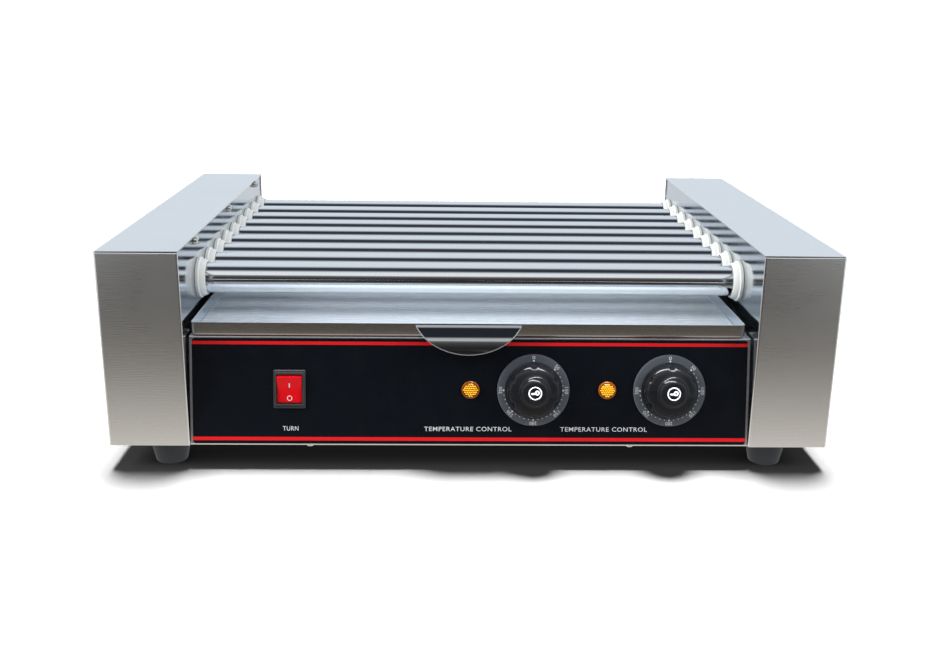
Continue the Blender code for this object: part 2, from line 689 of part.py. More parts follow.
def drive_chain(model):
    """The chain as a closed channel that the sprocket teeth run in."""
    steel = model.material("chain_steel", (0.28, 0.27, 0.26), 0.40, 1.0)
    place = Matrix.Translation((SPROCKET_X, 0, 0)) @ ALONG_X
    band = outline_mesh(
        model, "drive_chain", [chain_loop(CHAIN_HALF_DEPTH), chain_loop(-CHAIN_HALF_DEPTH)], CHAIN_WIDTH
    )
    groove = outline_mesh(
        model, "chain_groove", [chain_loop(TOOTH_TIP + 0.0005), chain_loop(-0.0040)], CHAIN_GROOVE
    )
    chain = model.add("drive_chain", band, steel, place)
    model.boolean(chain, "DIFFERENCE", model.add("chain_groove", groove, matrix=place))


def terminal_block(model):
    """Barrier strip on the base pan for the mains wiring."""
    white = model.material("terminal_white", (0.80, 0.79, 0.74), 0.50)
    cells, cell, wall, height, floor = 5, 0.012, 0.0015, 0.015, 0.009
    length = cells * cell + wall
    top = []
    for i in range(cells):
        x = i * cell
        top += [(x, height), (x + wall, height), (x + wall, floor), (x + cell, floor)]
    outline = [(0.0, 0.0), (length, 0.0), (length, height), (length - wall, height)] + top[::-1]
    mesh = outline_mesh(model, "terminal_block", [outline], 0.022)
    upright = Matrix.Rotation(math.pi / 2, 4, "X")
    place = Matrix.Translation(at(0.100, 0.355, PAN_TOP + GAP)) @ upright
    model.add("terminal_block", mesh, white, place)


def drip_tray(model):
    """A shallow open tray under the rollers."""
    steel = model.material("brushed_steel", (0.62, 0.63, 0.64), 0.32, 1.0)
    low = at(TRAY_CENTRE_X - TRAY_HALF_WIDTH, TRAY_FRONT_DEPTH, TRAY_BOTTOM)
    high = at(TRAY_CENTRE_X + TRAY_HALF_WIDTH, TRAY_BACK_DEPTH, TRAY_TOP)
    mesh = solid_mesh("drip_tray", (low, high))
    work = bmesh.new()
    work.from_mesh(mesh)
    work.normal_update()
    lid = [f for f in work.faces if f.normal.z > 0.5]
    bmesh.ops.delete(work, geom=lid, context="FACES")
    work.to_mesh(mesh)
    work.free()
    thicken(model.add("drip_tray", mesh, steel), TRAY_SHEET, -1)


def tray_handle(model):
    """A half-moon of sheet bent into a quarter round, on the front of the tray."""
    chrome = model.material("polished_steel", (0.70, 0.71, 0.73), 0.12, 1.0)
    front = TRAY_FRONT_DEPTH - GAP
    steps = 8
    line = []
    for i in range(steps + 1):
        angle = math.pi / 2 * i / steps
        depth = front - HANDLE_ARC * math.sin(angle)
        height = HANDLE_TOP - HANDLE_ARC * (1 - math.cos(angle))
        line.append((depth, height))
    mesh = folded_mesh("tray_handle", line, HANDLE_CENTRE_X - 0.05, HANDLE_CENTRE_X + 0.05)
    handle = thicken(model.add("tray_handle", mesh, chrome), SHEET, 1)
    centre_height = HANDLE_TOP - HANDLE_ARC + HANDLE_CUT_RADIUS
    ends = [at(HANDLE_CENTRE_X, depth, centre_height) for depth in (-0.02, 0.03)]
    disc = solid_mesh("handle_disc", (*ends, HANDLE_CUT_RADIUS, 48))
    model.boolean(handle, "INTERSECT", model.add("handle_disc", disc))


def feet(model):
    """Four tapered rubber feet with a screw recess."""
    rubber = model.material("foot_rubber", (0.03, 0.03, 0.035), 0.75)
    top = FOOT_HEIGHT + PAN_UNDERSIDE - GAP
    profile = [(0, top), (0.0165, top), (0.0165, 0.017), (0.0125, 0), (0.006, 0), (0.006, 0.008), (0, 0.008)]
    for depth_name, depth in zip(("front", "back"), FOOT_DEPTHS):
        for side_name, side in (("left", -1), ("right", 1)):
            name = f"foot_{depth_name}_{side_name}"
            place = Matrix.Translation(at(side * FOOT_X, depth, -FOOT_HEIGHT))
            turned_part(model, name, profile, False, SMALL_ROUND, rubber, place)


def build():
    """Makes every part of the grill."""
    model = Model()
    left_cover(model)
    end_cover(model, "right_end_cover", 1)
    side_plate(model, "left_side_plate", -1)
    side_plate(model, "right_side_plate", 1)
    cover_screws(model)
    base_pan(model)
    rear_panel(model)
    cord_gland(model)
    front_panel(model)
    control_overlay(model)
    rocker_switch(model)
    indicator_lamps(model)
    thermostat_controls(model)
    rollers(model)
    roller_bushes(model)
    heater_bank(model)
    gear_motor(model)
    drive_sprocket(model)
    drive_chain(model)
    terminal_block(model)
    drip_tray(model)
    tray_handle(model)
    feet(model)
    bpy.context.view_layer.update()


build()
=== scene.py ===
"""The looks of the hot dog roller grill: finer meshes and procedural materials on the CAD frame."""

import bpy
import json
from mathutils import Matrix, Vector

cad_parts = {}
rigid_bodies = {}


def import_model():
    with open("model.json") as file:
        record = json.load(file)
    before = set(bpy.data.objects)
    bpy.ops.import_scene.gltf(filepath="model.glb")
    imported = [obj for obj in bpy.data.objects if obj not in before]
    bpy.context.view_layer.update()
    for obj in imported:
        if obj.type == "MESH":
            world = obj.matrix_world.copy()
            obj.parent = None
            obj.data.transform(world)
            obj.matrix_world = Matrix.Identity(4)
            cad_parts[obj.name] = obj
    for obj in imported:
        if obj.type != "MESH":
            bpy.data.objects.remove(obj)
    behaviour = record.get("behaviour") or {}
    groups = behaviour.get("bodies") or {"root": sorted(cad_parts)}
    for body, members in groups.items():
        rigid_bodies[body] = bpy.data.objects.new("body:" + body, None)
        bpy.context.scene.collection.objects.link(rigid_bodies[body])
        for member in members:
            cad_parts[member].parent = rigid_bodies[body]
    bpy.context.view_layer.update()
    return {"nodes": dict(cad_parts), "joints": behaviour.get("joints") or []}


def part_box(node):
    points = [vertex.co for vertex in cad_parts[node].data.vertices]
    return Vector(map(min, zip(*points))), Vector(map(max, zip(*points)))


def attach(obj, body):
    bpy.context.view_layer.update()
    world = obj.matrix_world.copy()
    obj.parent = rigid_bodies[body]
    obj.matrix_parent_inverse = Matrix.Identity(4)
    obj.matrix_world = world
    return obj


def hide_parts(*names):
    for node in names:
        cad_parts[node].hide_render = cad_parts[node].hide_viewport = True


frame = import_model()

import json
import math

import bmesh
import bpy
from mathutils import Matrix, Vector

MM = 0.001
TAU = 2 * math.pi
SHEET = 1.0 * MM
JOINTS = {joint["name"]: joint for joint in frame["joints"]}
ROLLER_COUNT = sum(1 for name in JOINTS if name.startswith("roller_"))
SIDES = (("left", -1), ("right", 1))

# The panel frame: X across, Y into the panel, Z up its slope, with the controls' line at Z = 0
KNOB_JOINT = JOINTS["thermostat_left_turn"]
INTO_PANEL = Vector(KNOB_JOINT["axis"]).normalized()
UP_PANEL = Vector((1, 0, 0)).cross(INTO_PANEL)
CONTROL_POINT = Vector((0, *KNOB_JOINT["pos_m"][1:]))
PANEL = Matrix.Translation(CONTROL_POINT) @ Matrix(
    ((1, 0, 0), INTO_PANEL, UP_PANEL)
).transposed().to_4x4()

ALONG_X = Matrix(((0, 0, 1, 0), (1, 0, 0, 0), (0, 1, 0, 0), (0, 0, 0, 1)))
ALONG_MINUS_X = Matrix.Rotation(math.pi, 4, "Z") @ ALONG_X
OUT_OF_PANEL = Matrix.Rotation(math.pi / 2, 4, "X")


# ---- mesh helpers


def shift(x, y, z):
    """A move in metres."""
    return Matrix.Translation((x, y, z))


def pivot(joint):
    """Where a joint sits."""
    return Vector(JOINTS[joint]["pos_m"])


def mesh_of(work, name="mesh"):
    """The mesh that a bmesh holds. The bmesh is freed."""
    mesh = bpy.data.meshes.new(name)
    bmesh.ops.recalc_face_normals(work, faces=work.faces)
    work.to_mesh(mesh)
    work.free()
    return mesh


def loose_object(mesh, name="tool"):
    """An object that isn't a piece yet."""
    obj = bpy.data.objects.new(name, mesh)
    bpy.context.scene.collection.objects.link(obj)
    return obj


def evaluated(obj):
    """A new mesh of what an object and its modifiers show."""
    bpy.context.view_layer.update()
    graph = bpy.context.evaluated_depsgraph_get()
    return bpy.data.meshes.new_from_object(obj.evaluated_get(graph))


def bare_mesh(obj):
    """An object's mesh, without the object, which is removed."""
    mesh = obj.data
    bpy.data.objects.remove(obj, do_unlink=True)
    return mesh


def modified(obj, kind, **settings):
    """Puts one modifier on obj and applies it."""
    modifier = obj.modifiers.new(kind, kind)
    for key, value in settings.items():
        setattr(modifier, key, value)
    mesh = evaluated(obj)
    obj.modifiers.clear()
    obj.data = mesh


def boolean(obj, operation, *meshes):
    """Cuts, joins or intersects obj with meshes in its own frame, one after the other."""
    for mesh in meshes:
        tool = loose_object(mesh)
        tool.matrix_world = obj.matrix_world
        modified(obj, "BOOLEAN", operation=operation, solver="EXACT", object=tool)
        bpy.data.objects.remove(tool, do_unlink=True)


def bevel(obj, width, segments=2):
    """Rounds the edges that are sharper than 30 degrees."""
    limit = {"limit_method": "ANGLE", "angle_limit": math.radians(30)}
    modified(obj, "BEVEL", width=width, segments=segments, **limit)


def smooth(obj, angle):
    """Smooth shading, with flat faces kept flat beside their rounded edges."""
    obj.data.shade_smooth()
    obj.data.set_sharp_from_angle(angle=math.radians(angle))
    modified(obj, "WEIGHTED_NORMAL", keep_sharp=True, weight=80)


def box_mesh(low, high):
    """A box between two corners."""
    low, high = Vector(low), Vector(high)
    work = bmesh.new()
    place = shift(*(low + high) / 2) @ Matrix.Diagonal((*(high - low), 1.0))
    bmesh.ops.create_cube(work, size=1.0, matrix=place)
    return mesh_of(work)


def rod_mesh(start, end, radius, sides=32):
    """A straight round rod."""
    start, end = Vector(start), Vector(end)
    turn = (end - start).to_track_quat("Z", "Y").to_matrix().to_4x4()
    work = bmesh.new()
    bmesh.ops.create_cone(
        work,
        cap_ends=True,
        segments=sides,
        radius1=radius,
        radius2=radius,
        depth=(end - start).length,
        matrix=Matrix.Translation((start + end) / 2) @ turn,
    )
    return mesh_of(work)


def turned(profile, sides, closed=False):
    """A mesh turned about Z from (radius, height) points in millimetres."""
    work = bmesh.new()
    verts = [work.verts.new((r * MM, 0, z * MM)) for r, z in profile]
    pairs = list(zip(verts, verts[1:]))
    if closed:
        pairs.append((verts[-1], verts[0]))
    edges = [work.edges.new(pair) for pair in pairs]
    bmesh.ops.spin(
        work, geom=verts + edges, cent=(0, 0, 0), axis=(0, 0, 1), angle=TAU, steps=sides,
        use_merge=True,
    )
    bmesh.ops.remove_doubles(work, verts=work.verts, dist=1e-7)
    return mesh_of(work)


def walls(work, rings):
    """Faces between each closed ring of vertices and the next."""
    for lower, upper in zip(rings, rings[1:]):
        for i in range(len(lower)):
            k = (i + 1) % len(lower)
            work.faces.new((lower[i], lower[k], upper[k], upper[i]))


def polar(radius, angle):
    """A point by its distance and its angle, as x and y."""
    return radius * math.cos(angle), radius * math.sin(angle)


def circle(radius, sides=48):
    """A round outline, from a radius in millimetres."""
    return [polar(radius * MM, TAU * i / sides) for i in range(sides)]


def rounded(points, radius, steps=5, closed=False):
    """A line of 2D points with its corners turned into arcs."""
    made = []
    count = len(points)
    for i, point in enumerate(points):
        here = Vector(point)
        if not closed and i in (0, count - 1):
            made.append(tuple(here))
            continue
        before = Vector(points[i - 1]) - here
        after = Vector(points[(i + 1) % count]) - here
        half = before.angle(after) / 2
        reach = min(radius / math.tan(half), before.length * 0.49, after.length * 0.49)
        size = reach * math.tan(half)
        inward = (before.normalized() + after.normalized()).normalized()
        middle = here + inward * (size / math.sin(half))
        start, end = here + before.normalized() * reach, here + after.normalized() * reach
        first = math.atan2(start.y - middle.y, start.x - middle.x)
        sweep = math.atan2(end.y - middle.y, end.x - middle.x) - first
        sweep = (sweep + math.pi) % TAU - math.pi
        for k in range(steps + 1):
            x, y = polar(size, first + sweep * k / steps)
            made.append((middle.x + x, middle.y + y))
    return made


def rectangle(width, height, radius=0.0, centre=(0.0, 0.0), steps=5):
    """A rectangle's outline, with round corners where radius isn't 0."""
    x, y = width / 2, height / 2
    signs = ((-1, -1), (1, -1), (1, 1), (-1, 1))
    corners = [(centre[0] + a * x, centre[1] + b * y) for a, b in signs]
    return rounded(corners, radius, steps, closed=True) if radius else corners


def plate_mesh(loops, thickness):
    """A plate centred on the XY plane, from outlines in metres. The later ones are holes."""
    curve = bpy.data.curves.new("plate", "CURVE")
    curve.dimensions = "2D"
    curve.fill_mode = "BOTH"
    curve.extrude = thickness / 2
    for loop in loops:
        spline = curve.splines.new("POLY")
        spline.points.add(len(loop) - 1)
        spline.use_cyclic_u = True
        for point, (x, y) in zip(spline.points, loop):
            point.co = (x, y, 0, 1)
    obj = loose_object(curve)
    mesh = evaluated(obj)
    bpy.data.objects.remove(obj, do_unlink=True)
    work = bmesh.new()
    work.from_mesh(mesh)
    bmesh.ops.remove_doubles(work, verts=work.verts, dist=1e-6)
    bmesh.ops.dissolve_limit(work, angle_limit=0.001, verts=work.verts, edges=work.edges)
    return mesh_of(work)


def bar_mesh(loop, start, end):
    """A bar along X from an outline of (y, z) points."""
    return moved(plate_mesh([loop], end - start), shift((start + end) / 2, 0, 0) @ ALONG_X)


def folded(path, sheet, start, end):
    """A folded sheet along X. Its thickness lies on the left of the (y, z) path."""
    inner = []
    for i, point in enumerate(path):
        after = Vector(path[min(i + 1, len(path) - 1)])
        along = (after - Vector(path[max(i - 1, 0)])).normalized()
        inner.append((point[0] - along.y * sheet, point[1] + along.x * sheet))
    return bar_mesh(list(path) + inner[::-1], start, end)


def cord_mesh(spots, radius, sides=10):
    """A round cord through a line of points, with closed ends."""
    work = bmesh.new()
    rings = []
    for i, spot in enumerate(spots):
        along = (spots[min(i + 1, len(spots) - 1)] - spots[max(i - 1, 0)]).normalized()
        turn = along.to_track_quat("Z", "Y")
        ring = [turn @ Vector((*polar(1, TAU * k / sides), 0)) for k in range(sides)]
        rings.append([work.verts.new(spot + point * radius) for point in ring])
    walls(work, rings)
    work.faces.new(rings[0])
    work.faces.new(rings[-1])
    return mesh_of(work)


def joined(*meshes):
    """One mesh that holds copies of several. They are left as separate shells."""
    work = bmesh.new()
    for mesh in meshes:
        work.from_mesh(mesh)
    made = bpy.data.meshes.new("joined")
    work.to_mesh(made)
    work.free()
    return made


def moved(mesh, matrix):
    """A copy of a mesh, moved."""
    made = mesh.copy()
    made.transform(matrix)
    return made


def piece(name, mesh, look, body="root", stands_for=None, place=None, angle=35, bevelled=0.0):
    """A finished piece: mesh, material, the body that it rides on and the node it stands for."""
    obj = loose_object(mesh, name)
    mesh.name = name
    if bevelled:
        bevel(obj, bevelled)
    smooth(obj, angle)
    obj.data.name = name
    paint(obj, look)
    if place is not None:
        obj.matrix_world = place
    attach(obj, body)
    if stands_for:
        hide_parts(stands_for)


def paint(obj, look):
    """Gives an object its one material."""
    obj.data.materials.clear()
    obj.data.materials.append(look)


# ---- materials


class Nodes:
    """Short calls for the nodes of one tree."""

    def __init__(self, tree):
        self.tree = tree

    def node(self, kind, **settings):
        made = self.tree.nodes.new(kind)
        for key, value in settings.items():
            setattr(made, key, value)
        return made

    def wire(self, node, **inputs):
        """Links or sets a node's inputs, by name or as i and a number."""
        for key, value in inputs.items():
            numbered = key[0] == "i" and key[1:].isdigit()
            socket = node.inputs[int(key[1:]) if numbered else key]
            if isinstance(value, bpy.types.NodeSocket):
                self.tree.links.new(value, socket)
            else:
                socket.default_value = value
        return node

    def ramp(self, value, *stops):
        """Maps a value through (position, colour) stops."""
        node = self.node("ShaderNodeValToRGB")
        band = node.color_ramp.elements
        while len(band) < len(stops):
            band.new(0.5)
        for element, (position, colour) in zip(band, stops):
            element.position = position
            element.color = (*colour, 1)
        self.wire(node, Fac=value)
        return node.outputs["Color"]

    def remap(self, value, low, high, new_low=0.0, new_high=1.0):
        node = self.node("ShaderNodeMapRange")
        self.wire(node, i0=value, i1=low, i2=high, i3=new_low, i4=new_high)
        return node.outputs[0]

    def maths(self, operation, first, second=0.0):
        node = self.node("ShaderNodeMath", operation=operation)
        self.wire(node, i0=first, i1=second)
        return node.outputs[0]

    def mix(self, factor, first, second):
        """Mixes two colours, each a socket or three numbers."""
        node = self.node("ShaderNodeMix", data_type="RGBA")
        ends = [v if isinstance(v, bpy.types.NodeSocket) else (*v, 1) for v in (first, second)]
        self.wire(node, i0=factor, i6=ends[0], i7=ends[1])
        return node.outputs[2]

    def choose(self, factor, first, second):
        """Mixes two shader nodes."""
        node = self.node("ShaderNodeMixShader")
        self.wire(node, i0=factor, i1=first.outputs[0], i2=second.outputs[0])
        return node.outputs[0]

    def axes(self, vector):
        """A vector's X, Y and Z."""
        return self.wire(self.node("ShaderNodeSeparateXYZ"), Vector=vector).outputs


class Look(Nodes):
    """A new material and short calls for its nodes."""

    def __init__(self, name, slot, colour, roughness, metallic=0.0, **inputs):
        self.material = bpy.data.materials.new(name)
        self.material.use_nodes = True
        self.material["slot"] = slot
        super().__init__(self.material.node_tree)
        self.shader = self.tree.nodes["Principled BSDF"]
        self.put("Base Color", (*colour, 1))
        self.put("Roughness", roughness)
        self.put("Metallic", metallic)
        for key, value in inputs.items():
            self.put(key.replace("_", " "), value)
        self.coordinates = self.node("ShaderNodeTexCoord").outputs["Object"]
        self.normal = self.node("ShaderNodeNewGeometry").outputs["Normal"]
        self.height = None

    def put(self, name, value):
        """Links or sets one of the shader's inputs."""
        self.wire(self.shader, **{name: value})

    def stretched(self, scale):
        """Object coordinates, scaled by axis."""
        node = self.node("ShaderNodeMapping")
        self.wire(node, Vector=self.coordinates, Scale=scale)
        return node.outputs["Vector"]

    def noise(self, scale, detail, stretch=(1, 1, 1), distortion=0.0):
        node = self.node("ShaderNodeTexNoise")
        place = self.stretched(stretch)
        self.wire(node, Vector=place, Scale=scale, Detail=detail, Distortion=distortion)
        return node.outputs["Fac"]

    def cells(self, scale):
        node = self.node("ShaderNodeTexVoronoi")
        self.wire(node, Vector=self.stretched((1, 1, 1)), Scale=scale)
        return node.outputs["Distance"]

    def worn_edges(self, radius=0.0006):
        """1 on sharp edges, 0 on flat faces."""
        eased = self.wire(self.node("ShaderNodeBevel", samples=4), Radius=radius)
        dot = self.node("ShaderNodeVectorMath", operation="DOT_PRODUCT")
        self.wire(dot, i0=eased.outputs["Normal"], i1=self.normal)
        return self.remap(dot.outputs["Value"], 0.995, 0.85)

    def bump(self, height, strength, distance=0.0002):
        """Adds a layer of bump to those already there."""
        node = self.node("ShaderNodeBump")
        self.wire(node, Height=height, Strength=strength, Distance=distance)
        if self.height:
            self.wire(node, Normal=self.height)
        self.height = node.outputs["Normal"]
        self.put("Normal", self.height)


def shade(colour, factor):
    return tuple(part * factor for part in colour)


def brushed(
    name, slot, colour, roughness, grain, stains=0.25, wave=0.0, dark=0.90, flat=None, bends=False
):
    """Steel with a grain. grain is the noise's stretch, the smallest along the brushing."""
    look = Look(name, slot, colour, roughness, 1.0)
    fine = look.noise(26.0, 5.0, grain)
    broad = look.noise(9.0, 3.0, distortion=0.6)
    scratches = look.noise(60.0, 1.0, shade(grain, 0.5))
    tint = look.mix(look.remap(fine, 0.3, 0.7), shade(colour, dark), colour)
    smudge = look.remap(broad, 0.52, 0.72, 0.0, stains)
    soiled = look.mix(smudge, tint, shade(colour, 0.9))
    wear_and_bend_highlight = look.worn_edges(0.0007)
    facing = look.axes(look.normal)
    if bends:
        # painted highlight: faces turned part way to the side or up, as on round bends and the
        # seam's rolled edges, are made brighter and smoother, on top of the worn edges
        turn = look.maths("MAXIMUM", look.maths("ABSOLUTE", facing["X"]), facing["Z"])
        bend = look.maths("MINIMUM", look.remap(turn, 0.15, 0.40), look.remap(turn, 0.97, 0.90))
        wear_and_bend_highlight = look.maths("MAXIMUM", wear_and_bend_highlight, bend)
    bright = tuple(min(0.97, part) for part in shade(colour, 1.2))
    # brighter on worn edges and, with bends, on the painted highlight of the turned faces
    look.put("Base Color", look.mix(look.maths("MULTIPLY", wear_and_bend_highlight, 0.8), soiled, bright))
    rough = look.remap(fine, 0.3, 0.7, roughness - 0.018, roughness + 0.018)
    rough = look.maths("ADD", rough, look.maths("MULTIPLY", smudge, 0.25))
    look.put("Roughness", look.maths("SUBTRACT", rough, look.maths("MULTIPLY", wear_and_bend_highlight, 0.14)))
    if flat is not None:
        # level faces mirror less, and faces to the front get a painted darker, warmer shade,
        # lighter on their worn edges
        level = look.remap(facing["Z"], 0.6, 0.97)
        look.put("Metallic", look.remap(level, 0.0, 1.0, 1.0, flat))
        rim = look.mix(wear_and_bend_highlight, (0.50, 0.46, 0.41), (0.85, 0.83, 0.80))
        look.put("Base Color", look.mix(look.remap(facing["Y"], -0.6, -0.97), soiled, rim))
    look.bump(fine, 0.02, 0.0001)
    look.bump(scratches, 0.012, 0.0001)
    if wave:
        look.bump(look.noise(5.0, 1.0), wave, 0.004)
    return look.material


def polished(name, slot, colour, roughness, wave=0.04, specks=0.0, stretch=(1, 1, 1)):
    """Mirror-bright steel with faint haze, rub marks and dust."""
    look = Look(name, slot, colour, roughness, 1.0)
    haze = look.noise(16.0, 4.0, stretch, 0.8)
    rubs = look.noise(60.0, 2.0, tuple(5 * s if s > 1 else s for s in stretch))
    rubbed = look.remap(rubs, 0.4, 0.7, 0.0, 0.5)
    look.put("Roughness", look.remap(haze, 0.35, 0.75, roughness, roughness + 0.07))
    look.put("Base Color", look.mix(rubbed, colour, shade(colour, 0.9)))
    look.bump(look.noise(7.0, 1.0, stretch), wave, 0.002)
    if specks:
        look.bump(look.remap(look.cells(420.0), 0.0, 0.12, 1.0, 0.0), specks, 0.0001)
    return look.material


def plastic(name, slot, colour, roughness, grain=0.10, lift=0.25, scale=900.0, **inputs):
    """Moulded plastic: fine grain, faint mottling and lighter rubbed edges."""
    look = Look(name, slot, colour, roughness, 0.0, **inputs)
    mottle = look.noise(60.0, 3.0)
    pale = tuple(min(1.0, part * 1.3 + lift * 0.25) for part in colour)
    base = look.mix(look.remap(mottle, 0.35, 0.7, 0.0, 0.35), colour, shade(colour, 0.85))
    look.put("Base Color", look.mix(look.maths("MULTIPLY", look.worn_edges(), lift), base, pale))
    look.put("Roughness", look.remap(mottle, 0.3, 0.7, roughness - 0.04, roughness + 0.07))
    look.bump(look.noise(scale, 2.0), grain, 0.00006)
    return look.material


def ink(name, slot, colour):
    """Screen-printed ink, slightly uneven."""
    look = Look(name, slot, colour, 0.42)
    patchy = look.noise(700.0, 2.0)
    thin = look.remap(patchy, 0.4, 0.7, 0.0, 0.3)
    look.put("Base Color", look.mix(thin, colour, shade(colour, 0.8)))
    look.bump(patchy, 0.08, 0.00004)
    return look.material


# the grain's stretch along X, Y and Z
ACROSS = (1.0, 90.0, 90.0)
DEPTHWISE = (60.0, 1.0, 60.0)
EVEN = (8, 8, 8)

# the covers and the panel carry the painted highlight on their bends (bends=True)
COVER_STEEL = brushed(
    "cover_brushed", "brushed_steel", (0.86, 0.845, 0.82), 0.28, ACROSS, 0.15, dark=0.98, bends=True
)
PANEL_STEEL = brushed(
    "panel_brushed", "brushed_steel", (0.84, 0.83, 0.81), 0.36, ACROSS, 0.15, dark=0.94, bends=True
)
# the tray's faces to the front carry a painted shade (flat)
TRAY_STEEL = brushed(
    "tray_brushed", "brushed_steel", (0.78, 0.84, 0.90), 0.26, ACROSS, 0.06, 0.03, 1.0, flat=0.50
)
PAN_STEEL = brushed("pan_satin", "sheet_steel", (0.52, 0.53, 0.54), 0.42, ACROSS)
REAR_STEEL = brushed("rear_brushed", "brushed_steel", (0.74, 0.74, 0.74), 0.34, ACROSS)
# the handle's edge bead: paler steel than the handle, as a painted highlight
BEAD_HIGHLIGHT_STEEL = brushed("bead_satin", "polished_steel", (0.88, 0.87, 0.85), 0.30, EVEN, 0.1, dark=0.97)
SPROCKET_STEEL = brushed("sprocket_oiled", "sprocket_steel", (0.42, 0.41, 0.39), 0.34, EVEN)
CHAIN_STEEL = brushed("chain_oiled", "chain_steel", (0.28, 0.27, 0.26), 0.38, EVEN)
HEATER_STEEL = brushed("heater_stained", "heater_grey", (0.32, 0.30, 0.29), 0.45, DEPTHWISE)
PLATE_STEEL = polished("plate_mirror", "polished_steel", (0.62, 0.655, 0.69), 0.09, 0.05)
HANDLE_STEEL = polished("handle_mirror", "polished_steel", (0.46, 0.455, 0.445), 0.04, 0.03)
SCREW_STEEL = polished("screw_bright", "screw_steel", (0.74, 0.72, 0.68), 0.12, 0.02)
ROLLER_CHROME = polished(
    "roller_chrome", "roller_chrome", (0.82, 0.83, 0.84), 0.05, 0.02, 0.12, (1.0, 6.0, 6.0)
)
MOTOR_PAINT = plastic("motor_paint", "motor_grey", (0.40, 0.41, 0.43), 0.38, 0.14, 0.4, 500.0)
BUSH_PTFE = plastic(
    "bush_ptfe", "bush_white", (0.78, 0.79, 0.76), 0.42, 0.05, 0.10, 600.0,
    Subsurface_Weight=0.25, Subsurface_Radius=(0.004, 0.004, 0.003), Subsurface_Scale=0.5,
)
OVERLAY_FILM = plastic(
    "overlay_film", "overlay_black", (0.004, 0.0055, 0.0085), 0.22, 0.03, 0.03, 1400.0,
    Specular_IOR_Level=0.32,
)
BLACK_ABS = plastic("black_abs", "black_plastic", (0.018, 0.018, 0.020), 0.34)
RING_ABS = plastic("ring_abs", "dial_black", (0.082, 0.093, 0.108), 0.30, 0.16, 0.20, 1500.0)
KNOB_ABS = plastic(
    "knob_abs", "knob_black", (0.006, 0.0065, 0.008), 0.15, 0.005, 0.06, Specular_IOR_Level=0.32
)
ROCKER_RED = plastic(
    "rocker_red", "rocker_red", (0.74, 0.003, 0.008), 0.24, 0.03, 0.10, 500.0,
    Specular_IOR_Level=0.35,
)
LAMP_AMBER = plastic(
    "lamp_amber", "lamp_amber", (0.20, 0.055, 0.002), 0.12, 0.02, 0.05, 400.0,
    Transmission_Weight=0.15, IOR=1.49,
)
LAMP_GLOW = plastic("lamp_glow", "lamp_amber", (1.0, 0.50, 0.02), 0.25, 0.02, 0.05, 400.0)
RUBBER = plastic("foot_rubber", "foot_rubber", (0.015, 0.019, 0.025), 0.55, 0.25, 0.25, 700.0)
BAKELITE = plastic("thermostat_body", "thermostat_body", (0.33, 0.32, 0.30), 0.50)
TERMINAL = plastic("terminal_white", "terminal_white", (0.78, 0.77, 0.71), 0.48)
RED_INK = ink("print_red", "print_red", (0.76, 0.005, 0.009))
WHITE_INK = ink("print_white", "print_white", (0.72, 0.74, 0.77))


# ---- housings


def end_cover(side_name, side):
    """A folded cover with round bends, and open seams along its front and back top edges."""
    node = f"{side_name}_end_cover"
    low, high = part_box(node)
    outer, inner = (low.x, high.x) if side < 0 else (high.x, low.x)
    work = bmesh.new()
    work.from_mesh(box_mesh(low, high))
    work.normal_update()
    missing = [f for f in work.faces if f.normal.z < -0.5 or f.normal.x * side < -0.5]
    bmesh.ops.delete(work, geom=missing, context="FACES")
    outside = [e for e in work.edges if all(abs(v.co.x - outer) < 1e-6 for v in e.verts)]
    bends = [e for e in outside if len(e.link_faces) == 2]
    bmesh.ops.bevel(work, geom=bends, offset=2.0 * MM, segments=5, profile=0.5, affect="EDGES")
    cover = loose_object(mesh_of(work))
    modified(cover, "SOLIDIFY", thickness=SHEET, offset=-1, use_even_offset=True)
    # seams: a gap under the lid, and the front and back sheets' rounded top edges below it
    seam = [(-0.8, -0.45), (1.3, -0.45), (1.3, -1.3), (0.8, -1.3)]
    seam += [(0.5, -1.42), (0.22, -1.8), (0.0, -2.7), (-0.8, -2.7)]
    start, end = sorted((inner - side * 1 * MM, outer - side * 1.9 * MM))
    ends = ((low.y, 1), (high.y, -1))
    for edge_y, way in ends:
        loop = [(edge_y + way * a * MM, high.z + b * MM) for a, b in seam]
        boolean(cover, "DIFFERENCE", bar_mesh(loop, start, end))
    # the front and back sheets turn in with a round bend beside the side plate
    angles = (0, 0.26, 0.52, 0.79, 1.05, 1.31, 1.57)
    bend = [(-0.5, -0.5), (1.9, -0.5)]
    bend += [(1.9 - 1.9 * math.sin(a), 1.5 - 1.5 * math.cos(a)) for a in angles] + [(-0.5, 1.5)]
    middle = shift(0, 0, (low.z + high.z) / 2 - 1.4 * MM)
    for edge_y, way in ends:
        loop = [(inner + side * a * MM, edge_y + way * b * MM) for a, b in bend]
        boolean(cover, "DIFFERENCE", moved(plate_mesh([loop], high.z - low.z), middle))
    mesh = bare_mesh(cover)
    piece(f"{node}_sheet", mesh, COVER_STEEL, stands_for=node, bevelled=0.28 * MM, angle=32)


